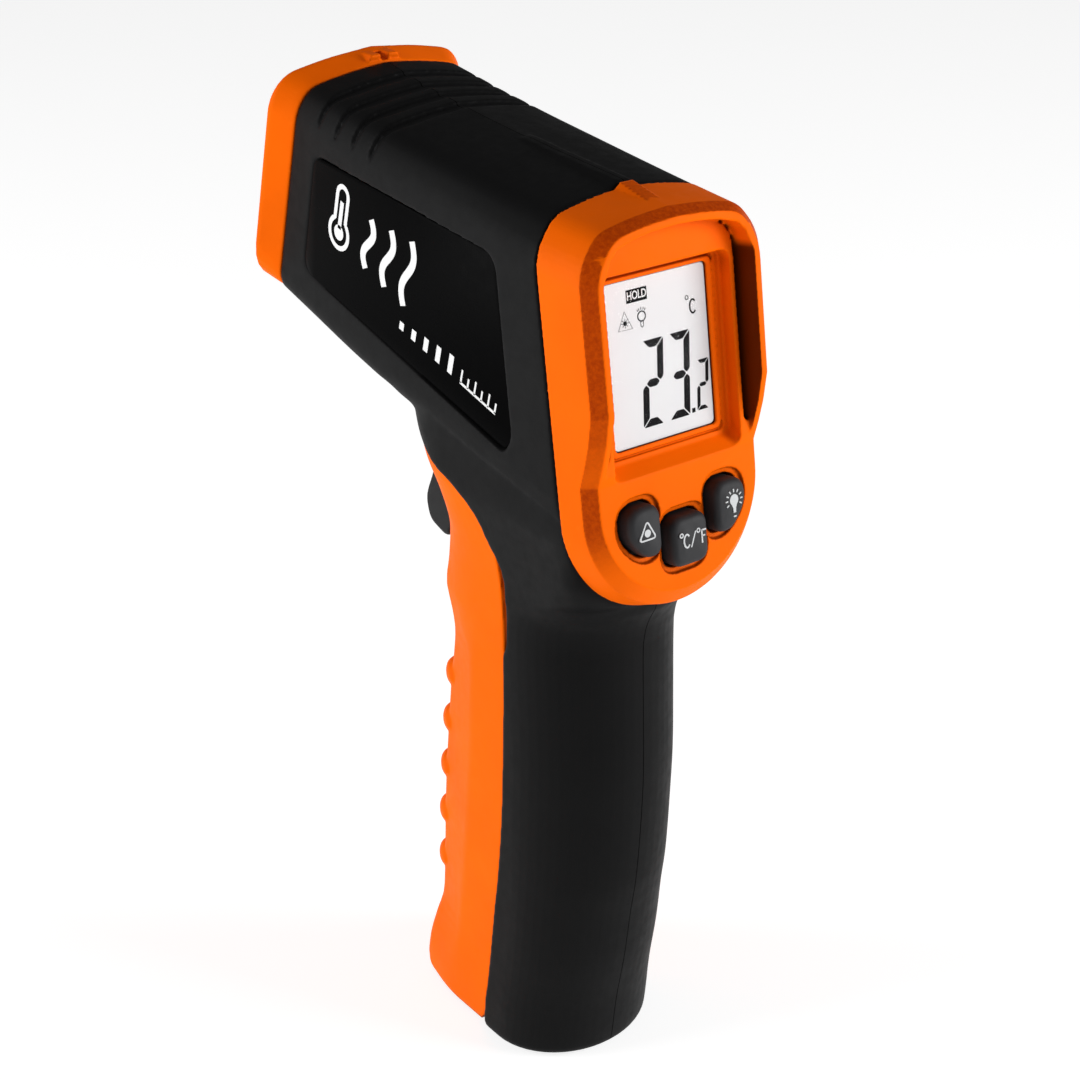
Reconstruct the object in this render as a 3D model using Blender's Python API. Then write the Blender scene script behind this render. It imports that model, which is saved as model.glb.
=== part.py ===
"""Pistol-grip infrared thermometer, built up from its separate moulded, optical and electrical pieces.

Positions are in millimetres from the centre of the display: +X to the user's right, +Y forward to the nose,
+Z up along the grip. world() turns them into metres about the middle of the flat base. The barrel points up
by BARREL_RISE, and the display leans back by DISPLAY_LEAN. Each has its own set of axes below.
"""
import math

import bmesh
import bpy
from mathutils import Matrix, Vector

MM = 0.001
GAP = 0.3
WALL = 2.0
BASE_Z = -135.0
MIDDLE_Y = 39.0
BARREL_RISE = math.radians(15.0)
DISPLAY_LEAN = math.radians(8.68)

X_AXIS = Vector((1, 0, 0))
AIM = Vector((0, math.cos(BARREL_RISE), math.sin(BARREL_RISE)))
AIM_UP = Vector((0, -math.sin(BARREL_RISE), math.cos(BARREL_RISE)))
FACE_UP = Vector((0, math.sin(DISPLAY_LEAN), math.cos(DISPLAY_LEAN)))
FACE_OUT = Vector((0, -math.cos(DISPLAY_LEAN), math.sin(DISPLAY_LEAN)))


def axes(first, second, third):
    """Matrix that takes coordinates along three directions to display coordinates."""
    return Matrix((first, second, third)).transposed()


UPRIGHT = axes(X_AXIS, Vector((0, 1, 0)), Vector((0, 0, 1)))
SIDEWAYS = axes(Vector((0, 1, 0)), Vector((0, 0, 1)), X_AXIS)
BARREL_SIDEWAYS = axes(AIM, AIM_UP, X_AXIS)
BARREL_ALONG = axes(X_AXIS, AIM_UP, AIM)
FACE = axes(X_AXIS, FACE_UP, FACE_OUT)
FACE_SIDEWAYS = axes(FACE_UP, FACE_OUT, X_AXIS)

# Barrel: distance along it, rake of the section, half width, top, fall of the roof from the centre to the
# shoulders, drop from there to the sides, place of the shoulders as a share of the half width, and radius of
# the lower corners, from the nose back to the joint with the display housing.
BARREL_UNDERSIDE = -28.6
BARREL_STATIONS = (
    (76.9, 0.0, 17.2, 12.5, 2.4, 3.9, 0.87, 4.0),
    (66.0, 0.0, 17.35, 13.4, 2.0, 4.2, 0.86, 4.0),
    (57.0, 0.0, 17.5, 14.6, 2.0, 4.5, 0.85, 4.0),
    (32.0, 0.2, 17.75, 17.9, 2.0, 4.9, 0.82, 6.0),
    (5.72, 0.4389, 18.0, 21.3, 1.95, 4.9, 0.78, 9.0),
)
# Round foot of the barrel's rear end, under the display housing.
POD_RADIUS = 18.0
POD_CENTRE_Z = -22.3
# Grip: heights against the rear centre line, the half width, the depth of the rounded back, the crease down
# each side of the door, the door's front corner and how far the door bulges beyond it.
REAR_LINE = ((-135, 9.4), (-133.6, 8.7), (-124, 7.4), (-112, 5.2), (-103, 4.0), (-95, 2.7), (-83, 1.8),
             (-75, 1.5), (-62, 1.9), (-50, 2.3), (-47, 1.8), (-44.6, 0.9), (-42.2, -0.4), (-40.3, -0.87),
             (-10, 3.8))
HALF_WIDTH = ((-135, 14.6), (-133.6, 15.4), (-128, 15.4), (-118, 15.1), (-60, 15.0), (-50, 15.1), (-42, 15.5),
              (-38, 16.0), (-34, 16.6), (-30, 17.2), (-26, 17.8), (-22, 17.6), (-10, 17.0))
BACK_DEPTH = ((-135, 13.0), (-110, 14.0), (-80, 16.0), (-46, 16.0), (-42, 13.0), (-39.5, 9.0), (-37, 6.0),
              (-34, 3.5), (-10, 3.0))
CREASE_LINE = ((-135, 39.0), (-128, 37.6), (-119, 35.2), (-98, 32.7), (-70, 30.5), (-60, 30.3),
               (-53, 31.5), (-49, 33.0), (-38, 32.6), (-30, 35.0), (-22, 39.5), (-10, 43.0))
CORNER_LINE = ((-135, 44.0), (-133.6, 46.8), (-131, 47.9), (-127, 47.6), (-121, 46.1), (-116, 44.7),
               (-93, 43.4), (-72, 41.3), (-57, 39.4), (-53.5, 39.6), (-49.5, 40.4), (-44, 39.4), (-38, 38.8),
               (-34, 40.0), (-30, 42.2), (-26, 45.0), (-22, 46.5), (-10, 50.0))
CORNER_X = ((-135, 12.6), (-128, 12.4), (-121, 11.8), (-114, 11.0), (-60, 11.0), (-50, 12.0), (-10, 12.0))
FRONT_BULGE = 2.6
GRIP_LEVELS = (-135, -133.6, -131, -127, -121, -116, -108, -98, -88, -78, -68, -60, -53.5, -49.5, -46.5, -44,
               -42, -40, -38, -36, -34, -30, -26, -22, -14)
# Edge between the black shells and the orange door, seen from the side, from the barrel to the base.
SHELL_EDGE = ((46.0, -18.0), (42.4, -20.8), (36.5, -24.6), (31.4, -26.2), (27.6, -28.1), (24.3, -30.9),
              (22.2, -34.4), (20.4, -36.8), (19.3, -39.5), (19.0, -47.0), (19.3, -52.5), (20.4, -55.5),
              (20.5, -66.0), (21.1, -84.0), (22.1, -96.0), (23.8, -110.0), (25.9, -127.0), (26.6, -135.5))
DOOR_EDGE = ((46.0, -18.0), (42.4, -20.8), (36.5, -24.6), (31.4, -26.2), (27.6, -28.1), (24.3, -30.9),
             (22.2, -34.4), (20.9, -38.0), (20.4, -55.5), (20.5, -66.0), (21.1, -84.0), (22.1, -96.0),
             (23.8, -110.0), (25.9, -127.0), (26.3, -131.5))
DOOR_HINGE = (30.0, -131.2)
RIB_TOP = -68.5
RIB_PITCH = 9.9
RIB_COUNT = 5
RIB_RADIUS = 2.5
TRIGGER_PIVOT = (42.0, -13.5)
SLOT_HALF_WIDTH = 6.3
# Screw posts of the shells: the first two in barrel coordinates, the others from the side in Y and Z.
BARREL_POSTS = (("barrel_upper", 43.0, 0.0), ("barrel_lower", 58.0, -24.0))
GRIP_POSTS = (("grip_upper", 13.5, -52.0), ("grip_lower", 17.0, -124.5))
# Display housing, in face coordinates: half sizes of the opening, the depth of the recess round it, the front
# of the panel, the inner face of the hood and the height of its rim, which slopes down to the key plate.
DISPLAY_HALF = (10.1, 12.75)
RECESS_FLOOR = 0.2
PANEL_FRONT = 2.8
HOOD_INNER = 14.55
HOOD_BACK = -4.94
RIM_TOP = 6.25
PLATE_FRONT = 2.2
RIM_LINE = ((-16.4, PLATE_FRONT), (-13.0, 3.7), (-9.6, 5.0), (-5.0, RIM_TOP))
BEVEL_DEPTH = 2.1
OPTICS_HEIGHT = -11.0
LASER_HEIGHT = 4.7
CELL_RADIUS = 5.25
CELL_LENGTH = 44.5
CELL_X = 5.6
CELL_Y = 29.5


def world(point):
    return Vector((point[0], point[1] - MIDDLE_Y, point[2] - BASE_Z)) * MM


def along(value, table):
    """Straight-line interpolation in a table of (position, value) pairs with rising positions."""
    for (low, first), (high, second) in zip(table, table[1:]):
        if value <= high:
            share = max(0.0, (value - low) / (high - low))
            return first + (second - first) * share
    return table[-1][1]


def material(name, color, roughness, metallic=0.0):
    """One Principled material, made once and shared by name."""
    found = bpy.data.materials.get(name)
    if found:
        return found
    made = bpy.data.materials.new(name)
    made.use_nodes = True
    shader = made.node_tree.nodes["Principled BSDF"]
    shader.inputs["Base Color"].default_value = (*color, 1.0)
    shader.inputs["Roughness"].default_value = roughness
    shader.inputs["Metallic"].default_value = metallic
    made.diffuse_color = (*color, 1.0)
    return made


def black_plastic():
    return material("black_shell_plastic", (0.014, 0.014, 0.015), 0.45)


def orange_plastic():
    return material("orange_plastic", (1.0, 0.13, 0.0), 0.42)


def steel():
    return material("zinc_plated_steel", (0.62, 0.62, 0.6), 0.32, 1.0)


def circuit_board():
    return material("circuit_board", (0.02, 0.16, 0.05), 0.4)


def fillet(points, radius, steps=4):
    """Closed outline with each corner replaced by an arc; radius is one value or one for each corner."""
    radii = radius if isinstance(radius, (list, tuple)) else [radius] * len(points)
    outline = []
    for index, bend in enumerate(radii):
        corner = Vector(points[index])
        if bend <= 0:
            outline.append(tuple(corner))
            continue
        before = (Vector(points[index - 1]) - corner).normalized()
        after = (Vector(points[(index + 1) % len(points)]) - corner).normalized()
        half = before.angle(after) / 2
        centre = corner + (before + after).normalized() * (bend / math.sin(half))
        start = corner + before * (bend / math.tan(half)) - centre
        turn = math.pi - 2 * half
        if before.x * after.y - before.y * after.x > 0:
            turn = -turn
        angle = math.atan2(start.y, start.x)
        for step in range(steps + 1):
            here = angle + turn * step / steps
            outline.append((centre.x + bend * math.cos(here), centre.y + bend * math.sin(here)))
    return outline


def mirrored(half):
    """Closed outline from its right half, which starts and ends on the centre line."""
    return list(half) + [(-x, y) for x, y in reversed(half[1:-1])]


def mirrored_radii(radii):
    return list(radii) + list(reversed(radii[1:-1]))


def grown(outline, amount):
    """Outline moved outward from its middle by about the amount given."""
    middle = sum((Vector(point) for point in outline), Vector((0, 0))) / len(outline)
    moved = []
    for point in outline:
        out = Vector(point) - middle
        moved.append(tuple(middle + out * (1 + amount / out.length)))
    return moved


def rectangle(half_width, half_height, centre=(0.0, 0.0)):
    x, y = centre
    return [(x - half_width, y - half_height), (x + half_width, y - half_height),
            (x + half_width, y + half_height), (x - half_width, y + half_height)]


def circle(radius, centre=(0.0, 0.0), segments=24):
    turns = [2 * math.pi * step / segments for step in range(segments)]
    return [(centre[0] + radius * math.cos(turn), centre[1] + radius * math.sin(turn)) for turn in turns]


def finish(name, bm, look, sharp=35.0):
    """Turns a bmesh into an object with outward faces and smooth shading between its sharp edges."""
    bmesh.ops.recalc_face_normals(bm, faces=bm.faces)
    mesh = bpy.data.meshes.new(name)
    bm.to_mesh(mesh)
    bm.free()
    mesh.shade_smooth()
    mesh.set_sharp_from_angle(angle=math.radians(sharp))
    if look:
        mesh.materials.append(look)
    made = bpy.data.objects.new(name, mesh)
    bpy.context.scene.collection.objects.link(made)
    return made


def loft(name, rings, look=None, rungs=False):
    """Solid through closed rings of equal length. Its ends are flat, or strips across mirrored rings."""
    bm = bmesh.new()
    rows = [[bm.verts.new(world(point)) for point in ring] for ring in rings]
    for lower, upper in zip(rows, rows[1:]):
        for index in range(len(lower)):
            after = (index + 1) % len(lower)
            bm.faces.new((lower[index], lower[after], upper[after], upper[index]))
    if rungs:
        for row in (rows[0], rows[-1]):
            cap_with_rungs(bm, row)
    else:
        bm.faces.new(reversed(rows[0]))
        bm.faces.new(rows[-1])
    return finish(name, bm, look)


def cap_with_rungs(bm, row):
    """Closes a mirrored ring that isn't flat with strips from each point to its mirror image."""
    count = len(row)
    for index in range(count // 2):
        corners = (row[index], row[index + 1], row[-index - 1], row[-index % count])
        kept = [corner for place, corner in enumerate(corners) if corner is not corners[place - 1]]
        bm.faces.new(kept)


def prism(name, outline, span, directions, look=None, origin=(0, 0, 0)):
    """Solid from an outline on the first two directions, drawn out over a span of the third."""
    base = Vector(origin)
    rings = [[base + directions @ Vector((a, b, c)) for a, b in outline] for c in span]
    return loft(name, rings, look)


def lathe(name, profile, centre, directions, look=None, segments=24):
    """Closed profile of (radius, distance) turned about the third direction through the centre."""
    bm = bmesh.new()
    base = Vector(centre)
    rows = []
    for radius, distance in profile:
        if radius <= 0:
            rows.append([bm.verts.new(world(base + directions @ Vector((0, 0, distance))))])
            continue
        ring = circle(radius, segments=segments)
        rows.append([bm.verts.new(world(base + directions @ Vector((a, b, distance)))) for a, b in ring])
    for row, following in zip(rows, rows[1:] + rows[:1]):
        for index in range(segments):
            after = (index + 1) % segments
            corners = [row[index % len(row)], row[after % len(row)],
                       following[after % len(following)], following[index % len(following)]]
            kept = [corner for place, corner in enumerate(corners) if corner is not corners[place - 1]]
            if len(kept) > 2:
                bm.faces.new(kept)
    return finish(name, bm, look)


def cylinder(name, radius, span, centre, directions, look=None, segments=24):
    outline = circle(radius, segments=segments)
    return prism(name, outline, span, directions, look, directions @ Vector((centre[0], centre[1], 0)))


def boolean(target, operation, *tools):
    """Applies one Boolean for each tool and removes the tool."""
    for tool in tools:
        modifier = target.modifiers.new("shape", "BOOLEAN")
        modifier.operation = operation
        modifier.solver = "EXACT"
        modifier.object = tool
        evaluated = target.evaluated_get(bpy.context.evaluated_depsgraph_get())
        mesh = bpy.data.meshes.new_from_object(evaluated)
        target.modifiers.clear()
        target.data = mesh
        bpy.data.objects.remove(tool)
    target.data.shade_smooth()
    target.data.set_sharp_from_angle(angle=math.radians(35))
    return target


def cut(target, *tools):
    return boolean(target, "DIFFERENCE", *tools)


def join(target, *tools):
    return boolean(target, "UNION", *tools)


def duplicate(source, name):
    made = source.copy()
    made.data = source.data.copy()
    made.name = name
    bpy.context.scene.collection.objects.link(made)
    return made


def set_pivot(target, point):
    """Moves an object's origin to a point of its joint's axis without moving its shape."""
    pivot = world(point)
    target.data.transform(Matrix.Translation(-pivot))
    target.location = pivot


def coil(name, look, centre, directions, radius, wire, span, turns, taper=0.0):
    """Round-wire spring along the third direction; taper narrows its far end."""
    steps = turns * 10
    curve = bpy.data.curves.new(name, "CURVE")
    curve.dimensions = "3D"
    curve.bevel_depth = wire * MM
    curve.bevel_resolution = 1
    curve.use_fill_caps = True
    spline = curve.splines.new("POLY")
    spline.points.add(steps)
    for step, point in enumerate(spline.points):
        share = step / steps
        around = 2 * math.pi * turns * share
        reach = radius - taper * share
        height = span[0] + wire + (span[1] - span[0] - 2 * wire) * share
        local = Vector((reach * math.cos(around), reach * math.sin(around), height))
        point.co = (*world(Vector(centre) + directions @ local), 1.0)
    curve.materials.append(look)
    made = bpy.data.objects.new(name, curve)
    bpy.context.scene.collection.objects.link(made)
    return made


def barrel_outline(half_width, top, fall, drop, shoulder, bend, bottom=BARREL_UNDERSIDE, inset=0.0):
    """Section of the barrel: a low roof with bevelled shoulders over straight sides."""
    width = half_width - inset
    crown = top - inset
    half = ((0, crown), (0.45 * width, crown - 0.36 * fall), (shoulder * width, crown - fall),
            (width, crown - fall - drop), (width, bottom + inset), (0, bottom + inset))
    radii = mirrored_radii((0, 0, 2.0, 2.0, bend, 0))
    return fillet(mirrored(half), radii, 3)


def barrel_solid(name, inset=0.0, overrun=0.0):
    """The barrel's outer form, or the space inside it, run past both of its ends."""
    rings = []
    last = len(BARREL_STATIONS) - 1
    for index, (reach, rake, *values) in enumerate(BARREL_STATIONS):
        reach += overrun if index == 0 else -overrun if index == last else 0.0
        outline = barrel_outline(*values, inset=inset)
        rings.append([BARREL_ALONG @ Vector((x, up, reach + rake * up)) for x, up in outline])
    return loft(name, rings)


def grip_outline(level, inset=0.0):
    """Section of the grip with its door: a rounded back, flat sides and a bevelled front."""
    rear = along(level, REAR_LINE)
    width = along(level, HALF_WIDTH) - inset
    radius = POD_RADIUS - inset
    below = level - POD_CENTRE_Z
    flat = math.sqrt(max(0.0, radius * radius - below * below)) if level > POD_CENTRE_Z - radius else 0.0
    flat = min(flat, width - 0.3)
    if inset and flat > 0:
        rear -= 1.5
    elif inset:
        rear += inset
    depth = along(level, BACK_DEPTH)
    corner_x = along(level, CORNER_X) - 0.9 * inset
    corner_y = along(level, CORNER_LINE) - inset
    crease = along(level, CREASE_LINE) - 0.3 * inset
    half = [(0, rear)]
    for step in range(1, 8):
        turn = math.pi / 2 * step / 7
        half.append((flat + (width - flat) * math.sin(turn), rear + depth * (1 - math.cos(turn))))
    half.append((width - 0.2, crease))
    half.append((corner_x, corner_y))
    half.append((corner_x - 2.2, corner_y + 0.55 * FRONT_BULGE))
    half.append((0, corner_y + FRONT_BULGE))
    return mirrored(half)


def grip_solid(name, inset=0.0, levels=GRIP_LEVELS):
    rings = [[Vector((x, y, level)) for x, y in grip_outline(level, inset)] for level in levels]
    return loft(name, rings)


def grip_space(name):
    """The room inside the grip and the door."""
    inner = [BASE_Z + WALL] + [level for level in GRIP_LEVELS if BASE_Z + WALL < level < -20] + [-12]
    return grip_solid(name, WALL, inner)


def far_side(name, side):
    """Everything beyond the centre plane as seen from one side, and that side's half of the shells' gap."""
    return prism(name, rectangle(90, 120, (35, -50)), (side * GAP / 2, -side * 40), SIDEWAYS)


def trigger_slot(outline):
    """Opening for the trigger, with the outline given from the side."""
    return prism("trigger_slot", outline, (-SLOT_HALF_WIDTH, SLOT_HALF_WIDTH), SIDEWAYS)


def front_region(name, edge, shift):
    """Everything in front of the grip's side edge, over the whole width."""
    outline = [(y + shift, z - shift) for y, z in edge]
    outline += [(DOOR_HINGE[0], -140.0 if shift == 0 else BASE_Z - 1), (75.0, -140.0), (75.0, -18.0)]
    return prism(name, outline, (-25, 25), SIDEWAYS)


def label_outline(inset=0.0):
    """Side panel: a slanting quadrilateral with rounded corners, in barrel coordinates."""
    corners = ((70.4, 1.4), (21.0, 9.7), (9.9, -16.4), (11.0, -19.9), (70.0, -20.1))
    outline = fillet(corners, (1.8, 2.2, 1.5, 1.5, 2.2), 3)
    return grown(outline, -inset) if inset else outline


def post_places():
    """Each shell screw's name, its place seen from the side and how far out its head may sit."""
    places = []
    for name, reach, up in BARREL_POSTS:
        point = AIM * reach + AIM_UP * up
        places.append((name, (point.y, point.z), 16.2, 13.2))
    for name, y, z in GRIP_POSTS:
        places.append((name, (y, z), 12.2, 9.4))
    return places


def build_shells():
    """Left and right black shells: barrel and grip, split on the centre plane."""
    body = grip_solid("shell_body")
    cut(body, front_region("door_room", SHELL_EDGE, 0.0))
    join(body, barrel_solid("barrel"))
    cut(body, grip_space("grip_room"), barrel_solid("barrel_room", WALL, 2.0))
    cut(body, trigger_slot(rectangle(10.0, 9.0, (40.5, -22.0))))
    for side in (-1, 1):
        recess = prism("label_recess", label_outline(), (side * 16.6, side * 20), BARREL_SIDEWAYS)
        cut(body, recess)
    shells = {}
    for side, name in ((-1, "left_shell"), (1, "right_shell")):
        shell = duplicate(body, name)
        cut(shell, far_side("other_half", side))
        add_posts(shell, side)
        add_hinge_arm(shell, side)
        add_pivot_boss(shell, side)
        shell.data.materials.clear()
        shell.data.materials.append(black_plastic())
        shells[name] = shell
    bpy.data.objects.remove(body)
    return shells


def add_posts(shell, side):
    """Screw posts: blind in the left shell, through and counterbored in the right one."""
    for name, place, reach, head in post_places():
        post = cylinder(name, 3.1, (side * GAP, side * reach), place, SIDEWAYS, segments=16)
        join(shell, post)
        if side < 0:
            cut(shell, cylinder("pilot", 1.5, (0, -head + 1.5), place, SIDEWAYS, segments=12))
        else:
            cut(shell, cylinder("clearance", 1.5, (0, 25), place, SIDEWAYS, segments=12))
            cut(shell, cylinder("counterbore", 2.7, (head - 2.4, 25), place, SIDEWAYS, segments=16))


def add_hinge_arm(shell, side):
    """Arm inside the grip's foot that carries one end of the door's hinge."""
    y, z = DOOR_HINGE
    arm = [(y + 1.7 * math.cos(turn), z + 1.5 * math.sin(turn))
           for turn in [math.pi * (1 + step / 6) for step in range(7)]]
    arm += [(y + 1.7, z + 5.8), (20.5, z + 5.8), (20.5, z + 3.4), (y - 1.7, z + 3.4)]
    join(shell, prism("arm", arm, (side * 10.2, side * 12.3), SIDEWAYS))
    join(shell, prism("foot", rectangle(2.2, 1.2, (23.0, z + 4.6)), (side * 12.0, side * 14.3), SIDEWAYS))
    cut(shell, cylinder("bearing", 1.45, (side * 9, side * 12.8), DOOR_HINGE, SIDEWAYS, segments=16))


def add_pivot_boss(shell, side):
    """Boss on the shell wall for one end of the trigger's pivot pin."""
    join(shell, cylinder("boss", 2.6, (side * 7.2, side * 16.5), TRIGGER_PIVOT, SIDEWAYS, segments=16))
    cut(shell, cylinder("pin_hole", 1.3, (side * 6, side * 12.5), TRIGGER_PIVOT, SIDEWAYS, segments=12))


def build_door():
    """Orange battery door: the front of the grip, forked round the trigger, with five finger ribs."""
    door = grip_solid("battery_door")
    for index in range(RIB_COUNT):
        join(door, finger_rib(RIB_TOP - RIB_PITCH * index))
    cut(door, grip_space("door_room"))
    boolean(door, "INTERSECT", front_region("door_region", DOOR_EDGE, GAP))
    cut(door, barrel_solid("barrel_clearance", -GAP, 2.0))
    cut(door, trigger_slot(rectangle(15.0, 20.0, (50.0, -27.5))), heel_cutter())
    for side in (-1, 1):
        join(door, cylinder("peg", 1.15, (side * 10.8, side * 14.0), DOOR_HINGE, SIDEWAYS, segments=16))
    door.data.materials.clear()
    door.data.materials.append(orange_plastic())
    set_pivot(door, (0, *DOOR_HINGE))
    return door


def finger_rib(level):
    """One rounded rib across the door's front."""
    centre_y = along(level, CORNER_LINE) - 0.4
    reach = along(level, CORNER_X) + 0.8
    rings = []
    for share in (-1.0, -0.85, 0.0, 0.85, 1.0):
        radius = RIB_RADIUS if abs(share) < 0.9 else RIB_RADIUS - 1.1
        forward = FRONT_BULGE * (1 - share * share) - max(0.0, 4 * (abs(share) - 0.85))
        rings.append([Vector((share * reach, centre_y + forward + radius * math.cos(turn),
                              level + radius * math.sin(turn)))
                      for turn in [math.pi * step / 6 for step in range(12)]])
    return loft("finger_rib", rings)


def heel_cutter():
    """Takes off the door's lower rear corner outside an arc about its hinge, so that it can swing."""
    y, z = DOOR_HINGE
    radius = 3.3
    arc = [(y - radius * math.sin(turn), z - radius * math.cos(turn))
           for turn in [math.pi / 2 * step / 6 for step in range(7)]]
    outline = arc + [(y - 8, z), (y - 8, z - 8), (y, z - 8)]
    return prism("heel", outline, (-25, 25), SIDEWAYS)


def housing_outline(half_width, top, centre_v, shoulders):
    """Housing seen from behind: an arched top with bevelled shoulders, straight sides and a round foot."""
    first, second, third = shoulders
    half = [(0, top), (0.42 * half_width, top - first), (0.78 * half_width, top - second),
            (half_width, top - third)]
    half += [(half_width, v) for v in (-5.0, -9.6, -13.0, -16.4)]
    for step in range(0, 9):
        turn = math.pi / 2 * step / 8
        half.append((half_width * math.cos(turn), centre_v - half_width * math.sin(turn)))
    return mirrored(half)


def housing_body():
    """Outer form of the housing: straight walls and a bevel up to the rim, which slopes to the key plate."""
    rings = []
    for depth, width, top, centre, shoulders in ((None, 18.0, 25.45, -22.3, (0.7, 2.05, 7.0)),
                                                 (BEVEL_DEPTH, 17.45, 23.05, -21.5, (0.5, 1.7, 6.6)),
                                                 (0.0, 15.7, 21.7, -20.6, (0.35, 1.4, 6.2))):
        outline = housing_outline(width, top, centre, shoulders)
        rings.append([FACE @ Vector((x, v, HOOD_BACK if depth is None else along(v, RIM_LINE) - depth))
                      for x, v in outline])
    return loft("display_housing", rings, rungs=True)


SIDE_KEY = ((5.5, -20.7), (11.5, -20.7), (12.0, -25.2), (8.7, -29.2), (5.5, -28.9))
SIDE_KEY_RADII = (1.8, 2.2, 2.4, 2.0, 1.6)
MIDDLE_KEY = ((-3.6, -24.2), (3.6, -24.2), (3.6, -32.3), (-3.6, -32.3))
MIDDLE_KEY_RADII = (2.0, 2.0, 1.6, 1.6)


def key_outlines():
    """The three keys' outlines on the display's plane."""
    right = fillet(SIDE_KEY, SIDE_KEY_RADII, 3)
    return {"laser_key": [(-x, v) for x, v in reversed(right)],
            "unit_key": fillet(MIDDLE_KEY, MIDDLE_KEY_RADII, 3),
            "backlight_key": right}


def build_housing():
    """Orange display housing: hood, display panel and key plate in one moulding."""
    housing = housing_body()
    hood_half = ((0, 20.4), (6.3, 19.8), (11.7, 18.3), (HOOD_INNER, 13.8), (HOOD_INNER, -17.5), (0, -17.5))
    cut(housing, prism("hood_room", mirrored(hood_half), (PANEL_FRONT, 9), FACE))
    for side in (-1, 1):
        channel = fillet(rectangle(0.5, 13.5, (side * (HOOD_INNER - 0.5), 0.4)), 0.4, 2)
        cut(housing, prism("channel", channel, (-1.0, 9), FACE))
    recess = [[FACE @ Vector((x, v, n)) for x, v in rectangle(12.6, half_height, (0, middle))]
              for n, half_height, middle in ((RECESS_FLOOR, 14.4, -0.2), (2.4, 15.6, -1.2), (9.0, 15.6, -1.2))]
    cut(housing, loft("recess", recess))
    cut(housing, prism("window_opening", rectangle(*DISPLAY_HALF), (-8, 8), FACE))
    cut(housing, prism("display_pocket", rectangle(11.5, 14.6), (-8, -0.75), FACE))
    cut(housing, prism("key_pocket", fillet(rectangle(13.2, 7.6, (0, -25.8)), 6.0, 4), (-8, -0.5), FACE))
    for outline in key_outlines().values():
        cut(housing, prism("key_hole", grown(outline, 0.4), (-8, 8), FACE))
    for x, v in BOARD_SCREWS:
        join(housing, cylinder("post", 1.9, (-6.0, -4.6), (x, v), FACE, segments=12))
        cut(housing, cylinder("pilot", 1.15, (-8, -4.0), (x, v), FACE, segments=12))
    housing.data.materials.clear()
    housing.data.materials.append(orange_plastic())
    return housing


BOARD_SCREWS = ((-8.5, 18.6), (8.5, 18.6), (-13.4, -15.6), (13.4, -15.6))


def build_keys():
    """Grey rubber keys, each with a cap, a flange behind the housing and a short plunger."""
    look = material("key_rubber", (0.045, 0.045, 0.048), 0.6)
    stages = ((-3.7, -1.0), (-2.1, -1.0), (-2.1, 0.8), (-0.8, 0.8), (-0.8, 0.0), (3.3, 0.0), (4.1, -0.6),
              (4.4, -1.4))
    for name, outline in key_outlines().items():
        rings = [[FACE @ Vector((x, v, n)) for x, v in grown(outline, change)] for n, change in stages]
        key = loft(name, rings, look)
        middle = sum((Vector(point) for point in outline), Vector((0, 0))) / len(outline)
        set_pivot(key, FACE @ Vector((middle.x, middle.y, 0)))


def build_display_stack():
    """Clear window, liquid crystal glass, light guide, contact strip and key membrane."""
    prism("display_window", rectangle(DISPLAY_HALF[0] - GAP, DISPLAY_HALF[1] - GAP), (-0.75, -0.05), FACE,
          material("clear_plastic", (0.9, 0.92, 0.93), 0.05))
    prism("display_glass", rectangle(11.1, 14.2), (-2.85, -1.05), FACE,
          material("display_glass", (0.8, 0.82, 0.8), 0.1))
    prism("light_guide", rectangle(10.8, 11.8, (0, 1.2)), (-6.0, -3.15), FACE,
          material("white_acrylic", (0.9, 0.9, 0.88), 0.3))
    prism("contact_strip", rectangle(10.6, 0.9, (0, -12.2)), (-6.0, -3.15), FACE,
          material("silicone_strip", (0.2, 0.18, 0.22), 0.6))
    membrane = prism("key_membrane", fillet(rectangle(12.4, 6.8, (0, -25.8)), 1.0, 2), (-6.0, -5.3), FACE,
                     material("membrane_rubber", (0.5, 0.5, 0.5), 0.6))
    for x, v in ((-8.6, -24.8), (0, -28.3), (8.6, -24.8)):
        join(membrane, cylinder("dome", 1.6, (-5.6, -5.05), (x, v), FACE, segments=12))


def build_main_board():
    """Circuit board behind the display, with its chip, buzzer and screws."""
    half = ((0, 21.0), (12.0, 21.0), (15.2, 16.0), (15.2, -18.5), (11.5, -29.0), (8.0, -33.0), (0, -33.0))
    board = prism("main_board", mirrored(half), (-7.9, -6.3), FACE, circuit_board())
    for x, v in BOARD_SCREWS:
        cut(board, cylinder("hole", 1.15, (-10, -5), (x, v), FACE, segments=12))
    board.data.materials.clear()
    board.data.materials.append(circuit_board())
    prism("controller_chip", rectangle(5.0, 5.0, (-3.0, 6.0)), (-9.8, -8.2), FACE,
          material("chip_resin", (0.02, 0.02, 0.02), 0.5))
    cylinder("buzzer", 5.5, (-11.2, -8.2), (6.5, -8.5), FACE,
             material("buzzer_plastic", (0.02, 0.02, 0.02), 0.4))
    screw_profile = ((0, -9.9), (1.7, -9.9), (1.9, -9.3), (1.9, -8.2), (0.8, -8.2), (0.8, -4.4), (0, -4.1))
    for index, (x, v) in enumerate(BOARD_SCREWS, 1):
        lathe(f"board_screw_{index}", screw_profile, FACE @ Vector((x, v, 0)), FACE, steel(), 12)


# Section of the barrel's front end, which the ring's opening and the bezel's plate follow.
NOSE_SECTION = BARREL_STATIONS[0][2:7] + (3.4,)


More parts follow.
